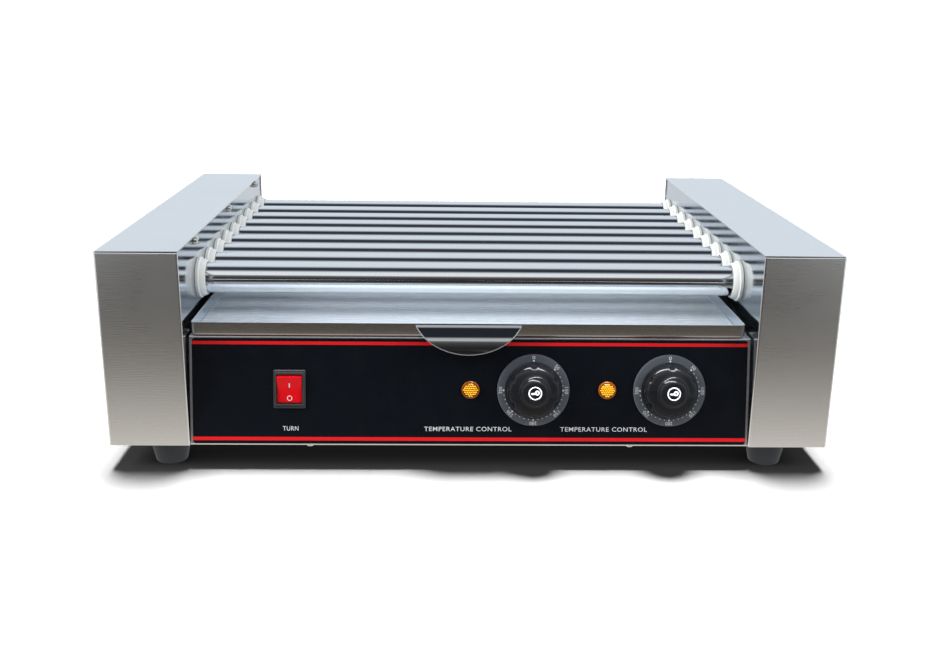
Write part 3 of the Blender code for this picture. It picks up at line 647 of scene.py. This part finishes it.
def cover_screws():
    """Pan-head screws with a cross recess."""
    head = [(0, 4.7), (0.9, 4.65), (1.9, 4.4), (2.8, 3.85), (3.4, 3.1), (3.65, 2.3), (3.65, 1.5)]
    head += [(3.4, 1.15), (3.4, 0.95), (3.75, 0.8), (3.75, 0.35), (3.5, 0.15)]
    body = [(2.0, 0.3), (2.0, -6.6), (1.6, -7.0), (0, -7.0)]
    screw = loose_object(turned(head + body, 32))
    for angle in (0, math.pi / 2):
        slot = box_mesh((-2.4 * MM, -0.55 * MM, 2.7 * MM), (2.4 * MM, 0.55 * MM, 6 * MM))
        boolean(screw, "DIFFERENCE", moved(slot, Matrix.Rotation(angle + 0.35, 4, "Z")))
    mesh = bare_mesh(screw)
    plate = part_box("left_side_plate")[1].x
    for i in range(1, 4):
        low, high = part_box(f"cover_screw_{i}")
        centre = (low + high) / 2
        place = shift(plate, centre.y, centre.z + 1.0 * MM) @ ALONG_X
        place = place @ Matrix.Rotation(i * 0.9, 4, "Z")
        name = f"cover_screw_{i}"
        piece(f"cover_screw_head_{i}", mesh.copy(), SCREW_STEEL, stands_for=name, place=place)


for side_name, side in SIDES:
    end_cover(side_name, side)
cover_screws()


# ---- rollers and bushes


def sprocket_mesh(teeth, bore, thickness, pitch=6.35, valley=1.7325, tip=1.2):
    """A chain sprocket in millimetres: round valleys, tapered tips and a round bore."""
    radius = pitch / 2 / math.sin(math.pi / teeth)
    loop = []
    for i in range(teeth):
        here = TAU * i / teeth + math.pi / 2
        for k in range(5):
            x, y = polar(radius, here)
            across, up = polar(valley, here + math.pi + math.radians(-58 + 29 * k))
            loop.append(((x + across) * MM, (y + up) * MM))
        for share in (0.44, 0.56):
            loop.append(polar((radius + tip) * MM, here + share * TAU / teeth))
    return plate_mesh([loop, circle(bore)], thickness * MM)


def rollers():
    """Nine polished tubes with rounded ends, each with its sprocket."""
    low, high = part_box("roller_1")
    start, end = low.x / MM, high.x / MM
    outer, inner, lip = 12.7, 11.7, 0.35
    wall = [(outer, end - lip), (outer, start + lip), (outer - lip, start), (inner, start)]
    wall += [(inner, end), (outer - lip, end)]
    tube = turned(wall, 96, closed=True)
    sprocket = moved(sprocket_mesh(16, 12.72, 2.8), shift(0, 0, -240 * MM))
    for i in range(1, ROLLER_COUNT + 1):
        node = f"roller_{i}"
        axis = shift(*pivot(f"{node}_spin")) @ ALONG_X
        place = axis @ Matrix.Rotation(i * 1.7, 4, "Z")
        piece(f"roller_tube_{i}", tube.copy(), ROLLER_CHROME, node, stands_for=node, place=place)
        name = f"roller_sprocket_{i}"
        piece(name, sprocket.copy(), SPROCKET_STEEL, node, place=axis, bevelled=0.15 * MM)


def bushes():
    """Tapered bushes with a rim, a shoulder and a rounded nose."""
    nose = [(13.15, 7.7), (13.35, 8.0), (13.75, 8.0), (14.1, 7.8)]
    taper = [(14.4 + 1.45 * math.sin(k * math.pi / 14), 7.35 - 0.66 * k) for k in range(1, 7)]
    rim = [(16.0, 3.05), (16.7, 3.05), (17.0, 2.75), (17.0, 0.5), (16.8, 0.2), (16.4, 0.15)]
    neck = [(15.2, 0.15), (15.2, -3.6), (14.9, -4.0), (13.45, -4.0), (13.15, -3.7)]
    mesh = turned(nose + taper + rim + neck, 72, closed=True)
    for side_name, side in SIDES:
        plate_low, plate_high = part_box(f"{side_name}_side_plate")
        x = plate_high.x if side < 0 else plate_low.x
        turn = ALONG_X if side < 0 else ALONG_MINUS_X
        for i in range(1, ROLLER_COUNT + 1):
            axis = pivot(f"roller_{i}_spin")
            place = shift(x, axis.y, axis.z) @ turn
            name = f"roller_bush_{side_name}_{i}"
            piece(f"{name}_turned", mesh.copy(), BUSH_PTFE, stands_for=name, place=place, angle=40)


rollers()
bushes()


# ---- tray and handle


def drip_tray():
    """A shallow tray with round corners and a soft floor bend."""
    low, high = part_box("drip_tray")
    centre = (low + high) / 2
    width, depth, height = high.x - low.x, high.y - low.y, high.z - low.z
    corner, bend, sheet = 5.0 * MM, 2.2 * MM, 0.8 * MM
    rows = []
    for k in range(7):
        angle = math.radians(90 * k / 6)
        rows.append((bend * (1 - math.sin(angle)), bend * (1 - math.cos(angle))))
    rows += [(-0.05 * MM, height * 0.5), (0.0, height - 0.9 * MM)]
    work = bmesh.new()
    rings = []
    for inset, rise in rows:
        size = max(0.2 * MM, corner - inset)
        loop = rectangle(width - 2 * inset, depth - 2 * inset, size, (centre.x, centre.y), 8)
        rings.append([work.verts.new((x, y, low.z + rise)) for x, y in loop])
    walls(work, rings)
    work.faces.new(rings[0])
    tray = loose_object(mesh_of(work))
    modified(tray, "SOLIDIFY", thickness=sheet, offset=-1)
    # the rim's front stands a little higher towards both ends
    for vertex in tray.data.vertices:
        if vertex.co.z > high.z - 3 * MM and vertex.co.y < low.y + 3 * MM:
            away = abs(vertex.co.x - centre.x) / (width / 2)
            vertex.co.z += 1.0 * MM * max(0.0, (away - 0.45) / 0.55) ** 2
    piece("drip_tray_sheet", bare_mesh(tray), TRAY_STEEL, "tray", stands_for="drip_tray", angle=40)


def tray_handle():
    """A half-moon of bright sheet, bent to a quarter round."""
    low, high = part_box("tray_handle")
    front, top = high.y, high.z
    radius = high.z - low.z
    centre_x = (low.x + high.x) / 2
    half = (high.x - low.x) / 2
    disc = (half * half + radius * radius) / (2 * radius)
    # the sheet leaves the rim in a tight bend, runs down nearly flat and curls under again
    line = [(front, top)]
    bends = ((0, 36, 5.0), (36, 46, 8.4), (46, 67, 3.5), (67, 90, 11.6))
    for start, end, length in bends:
        for k in range(10):
            angle = math.radians(start + (end - start) * (k + 0.5) / 10)
            y, z = line[-1]
            reach = length / 10 * MM
            line.append((y - math.cos(angle) * reach, z - math.sin(angle) * reach))
    handle = loose_object(folded(line, SHEET, centre_x - half * 1.2, centre_x + half * 1.2))
    start, end = (Vector((centre_x, front + along * MM, low.z + disc)) for along in (-40, 10))
    boolean(handle, "INTERSECT", rod_mesh(start, end, disc, 160))
    piece(
        "tray_handle_sheet", bare_mesh(handle), HANDLE_STEEL, "tray", stands_for="tray_handle",
        bevelled=0.38 * MM, angle=28,
    )
    # a slim bead along the half-moon's cut edge, in much paler steel than the sheet: a painted
    # highlight along the edge
    span = half * 0.985
    spots = []
    for k in range(97):
        x = -span * math.cos(math.pi * k / 96)
        z = low.z + disc - math.sqrt(disc * disc - x * x)
        after = next(i for i, point in enumerate(line) if point[1] <= z or i == len(line) - 1)
        (y0, z0), (y1, z1) = line[after - 1], line[after]
        share = (z - z0) / (z1 - z0)
        spots.append(Vector((centre_x + x, y0 + (y1 - y0) * share - 0.05 * MM, z)))
    piece("tray_handle_bead", cord_mesh(spots, 0.38 * MM), BEAD_HIGHLIGHT_STEEL, "tray")


drip_tray()
tray_handle()


# ---- front panel


def panel_place(across, up=0.0, out=0.0):
    """A place on the panel, in metres, with its Z axis out of the panel."""
    return PANEL @ shift(across, -out, up) @ OUT_OF_PANEL


SWITCH_X = JOINTS["rocker_tip"]["pos_m"][0]
DIAL_X = {name: JOINTS[f"thermostat_{name}_turn"]["pos_m"][0] for name, _ in SIDES}
LAMP_X = {
    name: sum(corner.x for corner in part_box(f"indicator_lamp_{name}")) / 2 for name, _ in SIDES
}
SWITCH_HOLE = (12 * MM, 14 * MM)
LAMP_HOLE, SHAFT_HOLE = 6.3 * MM, 5.0 * MM


def control_cutters():
    """Square and round holes through the panel, in its frame."""
    (x, z), reach = SWITCH_HOLE, 6 * MM
    holes = [box_mesh((SWITCH_X - x, -reach, -z), (SWITCH_X + x, reach, z))]
    for places, radius in ((LAMP_X, LAMP_HOLE), (DIAL_X, SHAFT_HOLE)):
        holes += [rod_mesh((x, -reach, 0), (x, reach, 0), radius) for x in places.values()]
    return holes


def front_panel():
    """The bent steel panel: lip, tray ledge, sloped face and bottom flange."""
    low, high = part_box("front_panel")
    back, ledge, flange = high.y - SHEET, high.z - 1.2 * MM, 17 * MM
    slope_top = low.y + (ledge - low.z) * math.tan(math.asin(-INTO_PANEL.z))
    line = [(back, high.z), (back, ledge), (slope_top, ledge)]
    line += [(low.y, low.z), (low.y + flange, low.z)]
    sheet = loose_object(folded(rounded(line, 1.3 * MM, 6), SHEET, low.x, high.x))
    boolean(sheet, "DIFFERENCE", *(moved(hole, PANEL) for hole in control_cutters()))
    mesh = bare_mesh(sheet)
    piece("front_panel_sheet", mesh, PANEL_STEEL, stands_for="front_panel", bevelled=0.15 * MM)
    # two low screw heads hold the bottom flange
    head = turned([(0, 1.5), (1.4, 1.4), (2.5, 1.0), (3.0, 0.35), (3.0, -0.4), (0, -0.4)], 32)
    upside_down = Matrix.Rotation(math.pi, 4, "X")
    for name, share in (("left", 0.212), ("right", 0.787)):
        place = shift(low.x + share * (high.x - low.x), low.y + 3.4 * MM, low.z) @ upside_down
        piece(f"panel_screw_{name}", head.copy(), SCREW_STEEL, place=place)


def control_overlay():
    """The printed film with round corners, and its two stripes."""
    low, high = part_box("control_overlay")
    width, bottom, top = high.x - low.x, -44.4 * MM, 40.7 * MM
    outline = rectangle(width, top - bottom, 2.5 * MM, (0, (bottom + top) / 2), 8)
    film_place, print_place = (shift(0, -out * MM, 0) @ OUT_OF_PANEL for out in (0.55, 0.80))
    film = loose_object(moved(plate_mesh([outline], 0.45 * MM), film_place))
    boolean(film, "DIFFERENCE", *control_cutters())
    piece(
        "control_overlay_film", bare_mesh(film), OVERLAY_FILM, stands_for="control_overlay",
        place=PANEL, bevelled=0.08 * MM,
    )
    for name, start, end in (("lower", -41.8, -38.9), ("upper", 35.7, 38.4)):
        stripe = rectangle(width - 0.2 * MM, (end - start) * MM, 0, (0, (start + end) / 2 * MM))
        mesh = moved(plate_mesh([stripe], 0.06 * MM), print_place)
        piece(f"overlay_stripe_{name}", mesh, RED_INK, place=PANEL)


front_panel()
control_overlay()


def text_mesh(words, height, width):
    """Plain lettering, centred in the XY plane, with capitals of the given height."""
    curve = bpy.data.curves.new("words", "FONT")
    curve.body = words
    curve.align_x = "CENTER"
    curve.size = height / 0.69
    curve.space_character = 1.1
    curve.extrude = 0.03 * MM
    curve.offset = height * 0.002
    curve.resolution_u = 3
    obj = loose_object(curve)
    mesh = evaluated(obj)
    bpy.data.objects.remove(obj, do_unlink=True)
    xs = [v.co.x for v in mesh.vertices]
    ys = [v.co.y for v in mesh.vertices]
    squeeze = Matrix.Diagonal((width / (max(xs) - min(xs)), 1, 1, 1))
    mesh.transform(squeeze @ shift(-(max(xs) + min(xs)) / 2, -(max(ys) + min(ys)) / 2, 0))
    work = bmesh.new()
    work.from_mesh(mesh)
    bmesh.ops.remove_doubles(work, verts=work.verts, dist=1e-6)
    return mesh_of(work)


def labels():
    """Plain functional words under the switch and the dials."""
    for name, words, across, width in (
        ("switch", "TURN", SWITCH_X + 0.6 * MM, 12.5),
        ("dial_left", "TEMPERATURE CONTROL", -2.5 * MM, 70.5),
        ("dial_right", "TEMPERATURE CONTROL", 107.5 * MM, 70.5),
    ):
        mesh = text_mesh(words, 3.5 * MM, width * MM)
        piece(f"label_{name}", mesh, WHITE_INK, place=panel_place(across, -32.0 * MM, 0.83 * MM))


labels()


# ---- switch and lamps


def rocker_switch():
    """The switch housing with its moulded bezel, and the two-sided red rocker."""
    def slab(width, height, radius, back, front):
        plate = plate_mesh([rectangle(width * MM, height * MM, radius * MM)], (front - back) * MM)
        return moved(plate, shift(0, 0, (front + back) / 2 * MM))

    housing = loose_object(slab(25.6, 31.0, 1.0, 1.1, 2.6))
    bevel(housing, 0.5 * MM, 3)
    boolean(housing, "UNION", slab(22.6, 26.6, 0.8, 1.5, 3.3), slab(23.2, 27.2, 0.6, -24.0, 2.0))
    boolean(housing, "DIFFERENCE", slab(20.8, 23.8, 0.5, -14.0, 6.0))
    piece(
        "switch_housing_moulded", bare_mesh(housing), BLACK_ABS, stands_for="switch_housing",
        place=panel_place(SWITCH_X), bevelled=0.18 * MM,
    )

    # the rocker's side view, in millimetres round its pivot: round ends with a dish between them
    right = [polar(11.4, math.radians(a)) for a in (-24, -12, 0, 10, 21.3)]
    left = [(-x, y) for x, y in reversed(right)]
    dish = [(9.2, 3.95), (4.6, 3.25), (0, 3.0), (-4.6, 3.25), (-9.2, 3.95)]
    outline = [(x * MM, y * MM) for x, y in right + dish + left + [(0.0, -7.5)]]
    across = Matrix(((0, 0, 1, 0), (0, -1, 0, 0), (1, 0, 0, 0), (0, 0, 0, 1)))
    tilt = Matrix.Rotation(math.radians(9), 4, "X")
    tilted = shift(*pivot("rocker_tip")) @ PANEL.to_3x3().to_4x4() @ tilt
    piece(
        "switch_rocker_moulded", plate_mesh([outline], 20.0 * MM), ROCKER_RED, "rocker",
        stands_for="switch_rocker", place=tilted @ across, bevelled=0.55 * MM, angle=40,
    )
    bar = plate_mesh([rectangle(0.85 * MM, 3.4 * MM)], 0.16 * MM)
    for name, mark, up, out, lean in (
        ("on", bar, 3.6, 3.24, 3.1),
        ("off", ring_mesh(2.1, 1.55, 0.16), -6.9, 3.64, -8.65),
    ):
        face = shift(0, -out * MM, up * MM) @ Matrix.Rotation(math.radians(lean), 4, "X")
        piece(f"rocker_mark_{name}", mark, WHITE_INK, "rocker", place=tilted @ face @ OUT_OF_PANEL)


def ring_mesh(outer, inner, thickness):
    """A flat ring, in millimetres."""
    return plate_mesh([circle(outer), circle(inner)], thickness * MM)


def indicator_lamps():
    """Amber lenses: a rim, a clear dome and a grid of facets under it."""
    rim = [(7.25, 1.1), (7.25, 2.3), (6.9, 2.8), (6.3, 3.0), (5.9, 2.8), (5.8, 2.4)]
    angles = (0.3, 0.6, 0.9, 1.2)
    dome = [(5.8 * math.cos(a), 2.4 + 1.9 * math.sin(a)) for a in angles] + [(0, 4.3)]
    barrel = [(0, -20), (5.6, -20), (5.6, 1.1)]
    shell = turned(list(reversed(barrel + rim + dome)), 64)
    cells, pitch = 4, 1.75
    facet = Matrix.Diagonal((1.28, 0.78, 0.7, 1))
    facets = bmesh.new()
    for row in range(-cells, cells + 1):
        for column in range(-cells, cells + 1):
            x, y = (column + 0.5 * (row % 2)) * pitch, row * pitch * 0.9
            away = math.hypot(x, y)
            if away > 5.35:
                continue
            height = 2.4 + 1.9 * math.sqrt(1 - (away / 6.0) ** 2)
            place = shift(x * MM, y * MM, height * MM)
            bmesh.ops.create_cube(facets, size=MM, matrix=place @ facet)
    facets = mesh_of(facets)
    for name, x in LAMP_X.items():
        node = f"indicator_lamp_{name}"
        place = panel_place(x)
        piece(f"{node}_lens", shell.copy(), LAMP_AMBER, stands_for=node, place=place, angle=50)
        piece(f"{node}_facets", facets.copy(), LAMP_GLOW, place=place, angle=20)


rocker_switch()
indicator_lamps()


# ---- dials and knobs


def dial_ring(name, x):
    """The fixed number ring with its printed numbers and dots."""
    profile = [(22.9, 3.3), (23.3, 3.45), (28.2, 3.45), (28.9, 3.0), (29.2, 2.3), (29.2, 1.1)]
    profile += [(5.0, 1.1), (5.0, 1.9), (22.6, 1.9), (22.9, 2.3)]
    node, place = f"dial_ring_{name}", panel_place(x)
    ring = turned(profile, 128, closed=True)
    piece(f"{node}_turned", ring, RING_ABS, stands_for=node, place=place)
    marks = []
    for step in range(31):
        degrees = step * 9.0
        if step % 5 and degrees < 45:
            continue
        major = step % 5 == 0
        radius = 0.72 if major else 0.40
        turn = Matrix.Rotation(-math.radians(degrees), 4, "Z")
        dot = rod_mesh((0, 0, 3.44 * MM), (0, 0, 3.52 * MM), radius * MM, 12)
        marks.append(moved(dot, turn @ shift(0, 24.0 * MM, 0)))
        if major:
            digits = str(step * 10)
            number = text_mesh(digits, 2.7 * MM, max(2.3, 1.95 * len(digits) - 0.25) * MM)
            marks.append(moved(number, turn @ shift(0, 26.6 * MM, 3.48 * MM)))
    piece(f"{node}_print", joined(*marks), WHITE_INK, place=place)


def knob_mesh(sides=180):
    """A round knob with six finger hollows and a raised hub."""
    rows = [(21.4, 2.7), (21.6, 3.2), (21.6, 9.4), (21.5, 11.0), (21.2, 12.3), (20.7, 13.4)]
    rows += [(20.0, 14.3), (19.2, 14.9), (18.0, 15.35), (16.4, 15.75), (14.6, 16.15), (13.0, 16.5)]
    rows += [(12.2, 16.85), (11.7, 17.4), (11.4, 18.1), (11.4, 19.0), (11.0, 19.8), (10.4, 20.45)]
    rows += [(9.6, 20.9), (8.6, 21.2), (7.4, 21.4), (6.7, 21.4), (6.3, 21.15), (3.0, 21.1)]
    work = bmesh.new()
    rings = []
    for radius, height in rows:
        ring = []
        for i in range(sides):
            angle = TAU * i / sides
            r, z = radius, height
            if radius > 18.5 and height > 8.0:
                notch = max(0.0, math.cos(3 * (angle - math.pi / 2)) ** 2 - 0.84) / 0.16
                notch *= min(1.0, (height - 8.0) / 4.0) * min(1.0, (radius - 18.5) / 1.5)
                r -= 1.0 * notch
                z -= 0.7 * notch
            ring.append(work.verts.new((*polar(r * MM, angle), z * MM)))
        rings.append(ring)
    walls(work, rings)
    tip = work.verts.new((0, 0, rows[-1][1] * MM))
    foot = work.verts.new((0, 0, rows[0][1] * MM))
    for i in range(sides):
        k = (i + 1) % sides
        work.faces.new((rings[-1][i], rings[-1][k], tip))
        work.faces.new((rings[0][k], rings[0][i], foot))
    return mesh_of(work)


def knobs():
    """The two thermostat knobs, their pointer ribs and their hub marks."""
    knob = loose_object(knob_mesh())
    slope = Matrix.Rotation(-math.radians(13.5), 4, "Y")
    for y in (-1.15, 1.15):
        rib = box_mesh((-0.3 * MM, -0.26 * MM, -2.0 * MM), (8.4 * MM, 0.26 * MM, 0.28 * MM))
        boolean(knob, "UNION", moved(rib, shift(-20.2 * MM, y * MM, 14.75 * MM) @ slope))
    boolean(knob, "UNION", rod_mesh((0, 0, -7.4 * MM), (0, 0, 4 * MM), 3.0 * MM))
    mesh = bare_mesh(knob)
    # the mark: a ring with a thermometer's bulb and stem in it
    hub = shift(0, 0, 21.15 * MM)
    bulb = moved(ring_mesh(1.95, 0.75, 0.12), shift(1.55 * MM, 0.35 * MM, 0))
    stem = rectangle(3.4, 1.5, 0.7, (-1.55, -0.35))
    stem = plate_mesh([[(a * MM, b * MM) for a, b in stem]], 0.10 * MM)
    glyph = (ring_mesh(5.35, 4.4, 0.12), bulb, stem)
    for name, x in DIAL_X.items():
        node, body, place = f"thermostat_knob_{name}", f"knob_{name}", panel_place(x)
        piece(f"{node}_moulded", mesh.copy(), KNOB_ABS, body, node, place, 38)
        piece(f"{node}_mark", joined(*glyph), WHITE_INK, body, place=place @ hub)


for name, x in DIAL_X.items():
    dial_ring(name, x)
knobs()


# ---- feet, gland and CAD nodes that are kept


def feet():
    """Tapered rubber feet with a bead round the top and a screw recess."""
    profile = [(0, 21), (16.2, 21), (16.5, 20.6), (16.5, 17.2), (16.2, 16.8), (15.9, 16.4)]
    profile += [(12.75, 0.9), (12.4, 0.3), (11.8, 0), (6.4, 0), (6.0, 0.4), (6.0, 8), (0, 8)]
    mesh = turned(profile, 72)
    for depth in ("front", "back"):
        for side_name, _ in SIDES:
            node = f"foot_{depth}_{side_name}"
            low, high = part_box(node)
            place = shift((low.x + high.x) / 2, (low.y + high.y) / 2, low.z)
            piece(f"{node}_moulded", mesh.copy(), RUBBER, stands_for=node, place=place)


def cord_gland():
    """The strain relief's rounded nose and flange."""
    low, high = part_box("cord_gland")
    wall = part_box("rear_panel")[1].y
    reach = (high.y - wall) / MM
    outside = [(5.2, reach), (6.0, reach - 0.3), (6.4, reach - 1.0), (8.4, 4.2), (9.6, 3.6)]
    outside += [(10.0, 3.2), (10.0, 0.3)]
    inside = [(7.0, 0.3), (7.0, -6.0), (4.2, -6.0), (4.2, reach - 0.5), (4.6, reach)]
    mesh = turned(outside + inside, 64, closed=True)
    backwards = Matrix.Rotation(-math.pi / 2, 4, "X")
    place = shift((low.x + high.x) / 2, wall, (low.z + high.z) / 2) @ backwards
    piece("cord_gland_moulded", mesh, BLACK_ABS, stands_for="cord_gland", place=place)


feet()
cord_gland()
for node, look in (
    ("left_side_plate", PLATE_STEEL),
    ("right_side_plate", PLATE_STEEL),
    ("base_pan", PAN_STEEL),
    ("rear_panel", REAR_STEEL),
    ("heater_bank", HEATER_STEEL),
    ("gear_motor", MOTOR_PAINT),
    ("drive_sprocket", SPROCKET_STEEL),
    ("drive_chain", CHAIN_STEEL),
    ("terminal_block", TERMINAL),
    ("thermostat_left", BAKELITE),
    ("thermostat_right", BAKELITE),
):
    paint(frame["nodes"][node], look)


# ---- stage and light

WHITE, WARM_WHITE = (1, 1, 1), (1.0, 0.99, 0.97)


def studio_world():
    """Bright behind, a dark ceiling strip, a soft box in front, a dark room behind the viewer."""
    world = bpy.data.worlds.new("studio")
    bpy.context.scene.world = world
    world.use_nodes = True
    world.node_tree.nodes.clear()
    studio = Nodes(world.node_tree)
    direction = studio.axes(studio.node("ShaderNodeTexCoord").outputs["Generated"])
    angle = studio.maths("ARCTAN2", direction["Z"], direction["Y"])
    # degrees round from the back horizon (0) over the top (90) to the front horizon (180)
    stops = (
        (-180, (0.05, 0.05, 0.055)), (-165, (0.14, 0.135, 0.13)), (-90, (0.35, 0.34, 0.33)),
        (-8, (0.70, 0.79, 0.88)), (0, (0.73, 0.82, 0.92)), (68, (0.76, 0.84, 0.92)),
        (78, (0.42, 0.44, 0.47)), (87, (0.035, 0.043, 0.058)), (108, (0.035, 0.043, 0.058)),
        (115, (0.34, 0.36, 0.38)), (125, (0.86, 0.90, 0.95)), (147, (0.90, 0.92, 0.95)),
        (151, (0.30, 0.305, 0.31)), (157, (0.11, 0.112, 0.115)), (170, (0.04, 0.04, 0.044)),
        (180, (0.04, 0.04, 0.044)),
    )
    stops = [((degrees + 180) / 360, colour) for degrees, colour in stops]
    band = studio.ramp(studio.remap(angle, -math.pi, math.pi), *stops)
    beside = studio.remap(studio.maths("ABSOLUTE", direction["X"]), 0.55, 0.85, 0.0, 0.9)
    colour = studio.mix(beside, band, (0.80, 0.84, 0.90))
    rays = studio.node("ShaderNodeLightPath").outputs
    # the studio lights matt surfaces a little more than it mirrors, and the camera sees plain white
    strength = studio.remap(rays["Is Diffuse Ray"], 0.0, 1.0, 1.0, 1.4)
    around = studio.wire(studio.node("ShaderNodeBackground"), Color=colour, Strength=strength)
    backdrop = studio.wire(studio.node("ShaderNodeBackground"), Color=(1, 1, 1, 1), Strength=1.05)
    choice = studio.choose(rays["Is Camera Ray"], around, backdrop)
    studio.wire(studio.node("ShaderNodeOutputWorld"), Surface=choice)


def pale_floor():
    """A wide pale floor, which the steel mirrors as a duller one: a glowing floor with painted
    light and shade, dark far in front and bright near the grill, beside it and behind it.
    """
    mesh = moved(plate_mesh([rectangle(90.0, 90.0)], 0.02), shift(0, 0, -0.0101))
    floor = loose_object(mesh, "floor")
    look = Look("floor_pale", "floor", (0.9, 0.9, 0.9), 0.9)
    grain = look.remap(look.noise(3.0, 3.0), 0.3, 0.7)
    seen = look.node("ShaderNodeBsdfDiffuse")
    look.wire(seen, Color=look.mix(grain, (0.030, 0.030, 0.030), (0.0306, 0.0306, 0.031)))
    place = look.axes(look.coordinates)
    front = look.ramp(
        look.remap(place["Y"], -0.9, -0.22),
        (0.0, (0.028, 0.025, 0.023)), (0.17, (0.038, 0.034, 0.031)), (0.54, (0.115, 0.107, 0.10)),
        (0.93, (0.58, 0.56, 0.53)), (1.0, (0.74, 0.72, 0.69)),
    )
    beside = look.remap(look.maths("ABSOLUTE", place["X"]), 0.55, 0.85)
    around = look.maths("MAXIMUM", beside, look.remap(place["Y"], 0.10, 0.30))
    # what the steel mirrors glows: painted shade far in front, painted light near the grill, beside
    # it and behind it
    mirrored = look.node("ShaderNodeEmission")
    look.wire(mirrored, Color=look.mix(around, front, (0.74, 0.77, 0.80)))
    seen_by_camera = look.node("ShaderNodeLightPath").outputs["Is Camera Ray"]
    choice = look.choose(seen_by_camera, mirrored, seen)
    look.wire(look.tree.nodes["Material Output"], Surface=choice)
    mesh.materials.append(look.material)
    return floor


def new_light(name, kind, power, colour, receivers):
    """A light, kept to its receivers where there are any."""
    data = bpy.data.lights.new(name, kind)
    data.energy = power
    data.color = colour
    light = loose_object(data, name)
    if receivers:
        group = bpy.data.collections.new(f"{name}_receivers")
        for receiver in receivers:
            group.objects.link(receiver)
        light.light_linking.receiver_collection = group
    return light


def soft_light(name, location, size, power, target=(0, 0, 0.1), colour=WARM_WHITE, receivers=()):
    """A rectangular soft light. Receivers are beginnings of pieces' names, and they mirror it."""
    lit = [obj for obj in bpy.data.objects if obj.name.startswith(receivers)]
    light = new_light(name, "AREA", power, colour, lit)
    light.data.shape = "RECTANGLE"
    light.data.size, light.data.size_y = size
    light.location = location
    aim = Vector(target) - Vector(location)
    light.rotation_euler = aim.to_track_quat("-Z", "Y").to_euler()
    light.visible_glossy = bool(receivers)


def sunlight(name, lean, angle, strength, receiver, colour=WHITE):
    """An even light for one object alone. Where it leans back, the shadow falls forward."""
    light = new_light(name, "SUN", strength, colour, [receiver])
    light.data.angle = math.radians(angle)
    light.rotation_euler = (-math.radians(lean), 0, 0)
    light.visible_glossy = False


def camera():
    """A camera in front of the grill and above it, at the photograph's angle."""
    pitch, yaw, roll = (math.radians(a) for a in (16.975, 1.569, 0.776))
    flat = math.cos(pitch)
    forward = Vector((math.sin(yaw) * flat, math.cos(yaw) * flat, -math.sin(pitch)))
    level = Vector((math.cos(yaw), -math.sin(yaw), 0))
    upright = level.cross(forward)
    right = math.cos(roll) * level + math.sin(roll) * upright
    up = -math.sin(roll) * level + math.cos(roll) * upright
    data = bpy.data.cameras.new("camera")
    data.sensor_width = 36
    data.lens = 42.44
    data.shift_x, data.shift_y = -0.0069, 0.00845
    place = Matrix((right, up, -forward)).transposed().to_4x4()
    place.translation = (-0.0232, -1.0226, 0.3613)
    eye = loose_object(data, "camera")
    eye.matrix_world = place
    bpy.context.scene.camera = eye


bpy.context.scene.view_settings.view_transform = "Standard"
studio_world()
FLOOR = pale_floor()
TRAY = bpy.data.objects["drip_tray_sheet"]
CONTROLS = ("thermostat_knob", "switch_housing", "indicator_lamp")
sunlight("floor_light", 11, 20, 155.0, FLOOR)
sunlight("tray_light", -38, 50, 2.6, TRAY, (0.90, 0.96, 1.0))
soft_light("knob_light", (-0.12, -0.36, 1.3), (2.4, 0.34), 85, (0, -0.25, 0.1), WHITE, CONTROLS)
soft_light("right_light", (1.4, -0.7, 1.0), (0.9, 0.9), 16)
soft_light("left_light", (-1.5, -0.5, 1.1), (0.9, 0.9), 42)
camera()
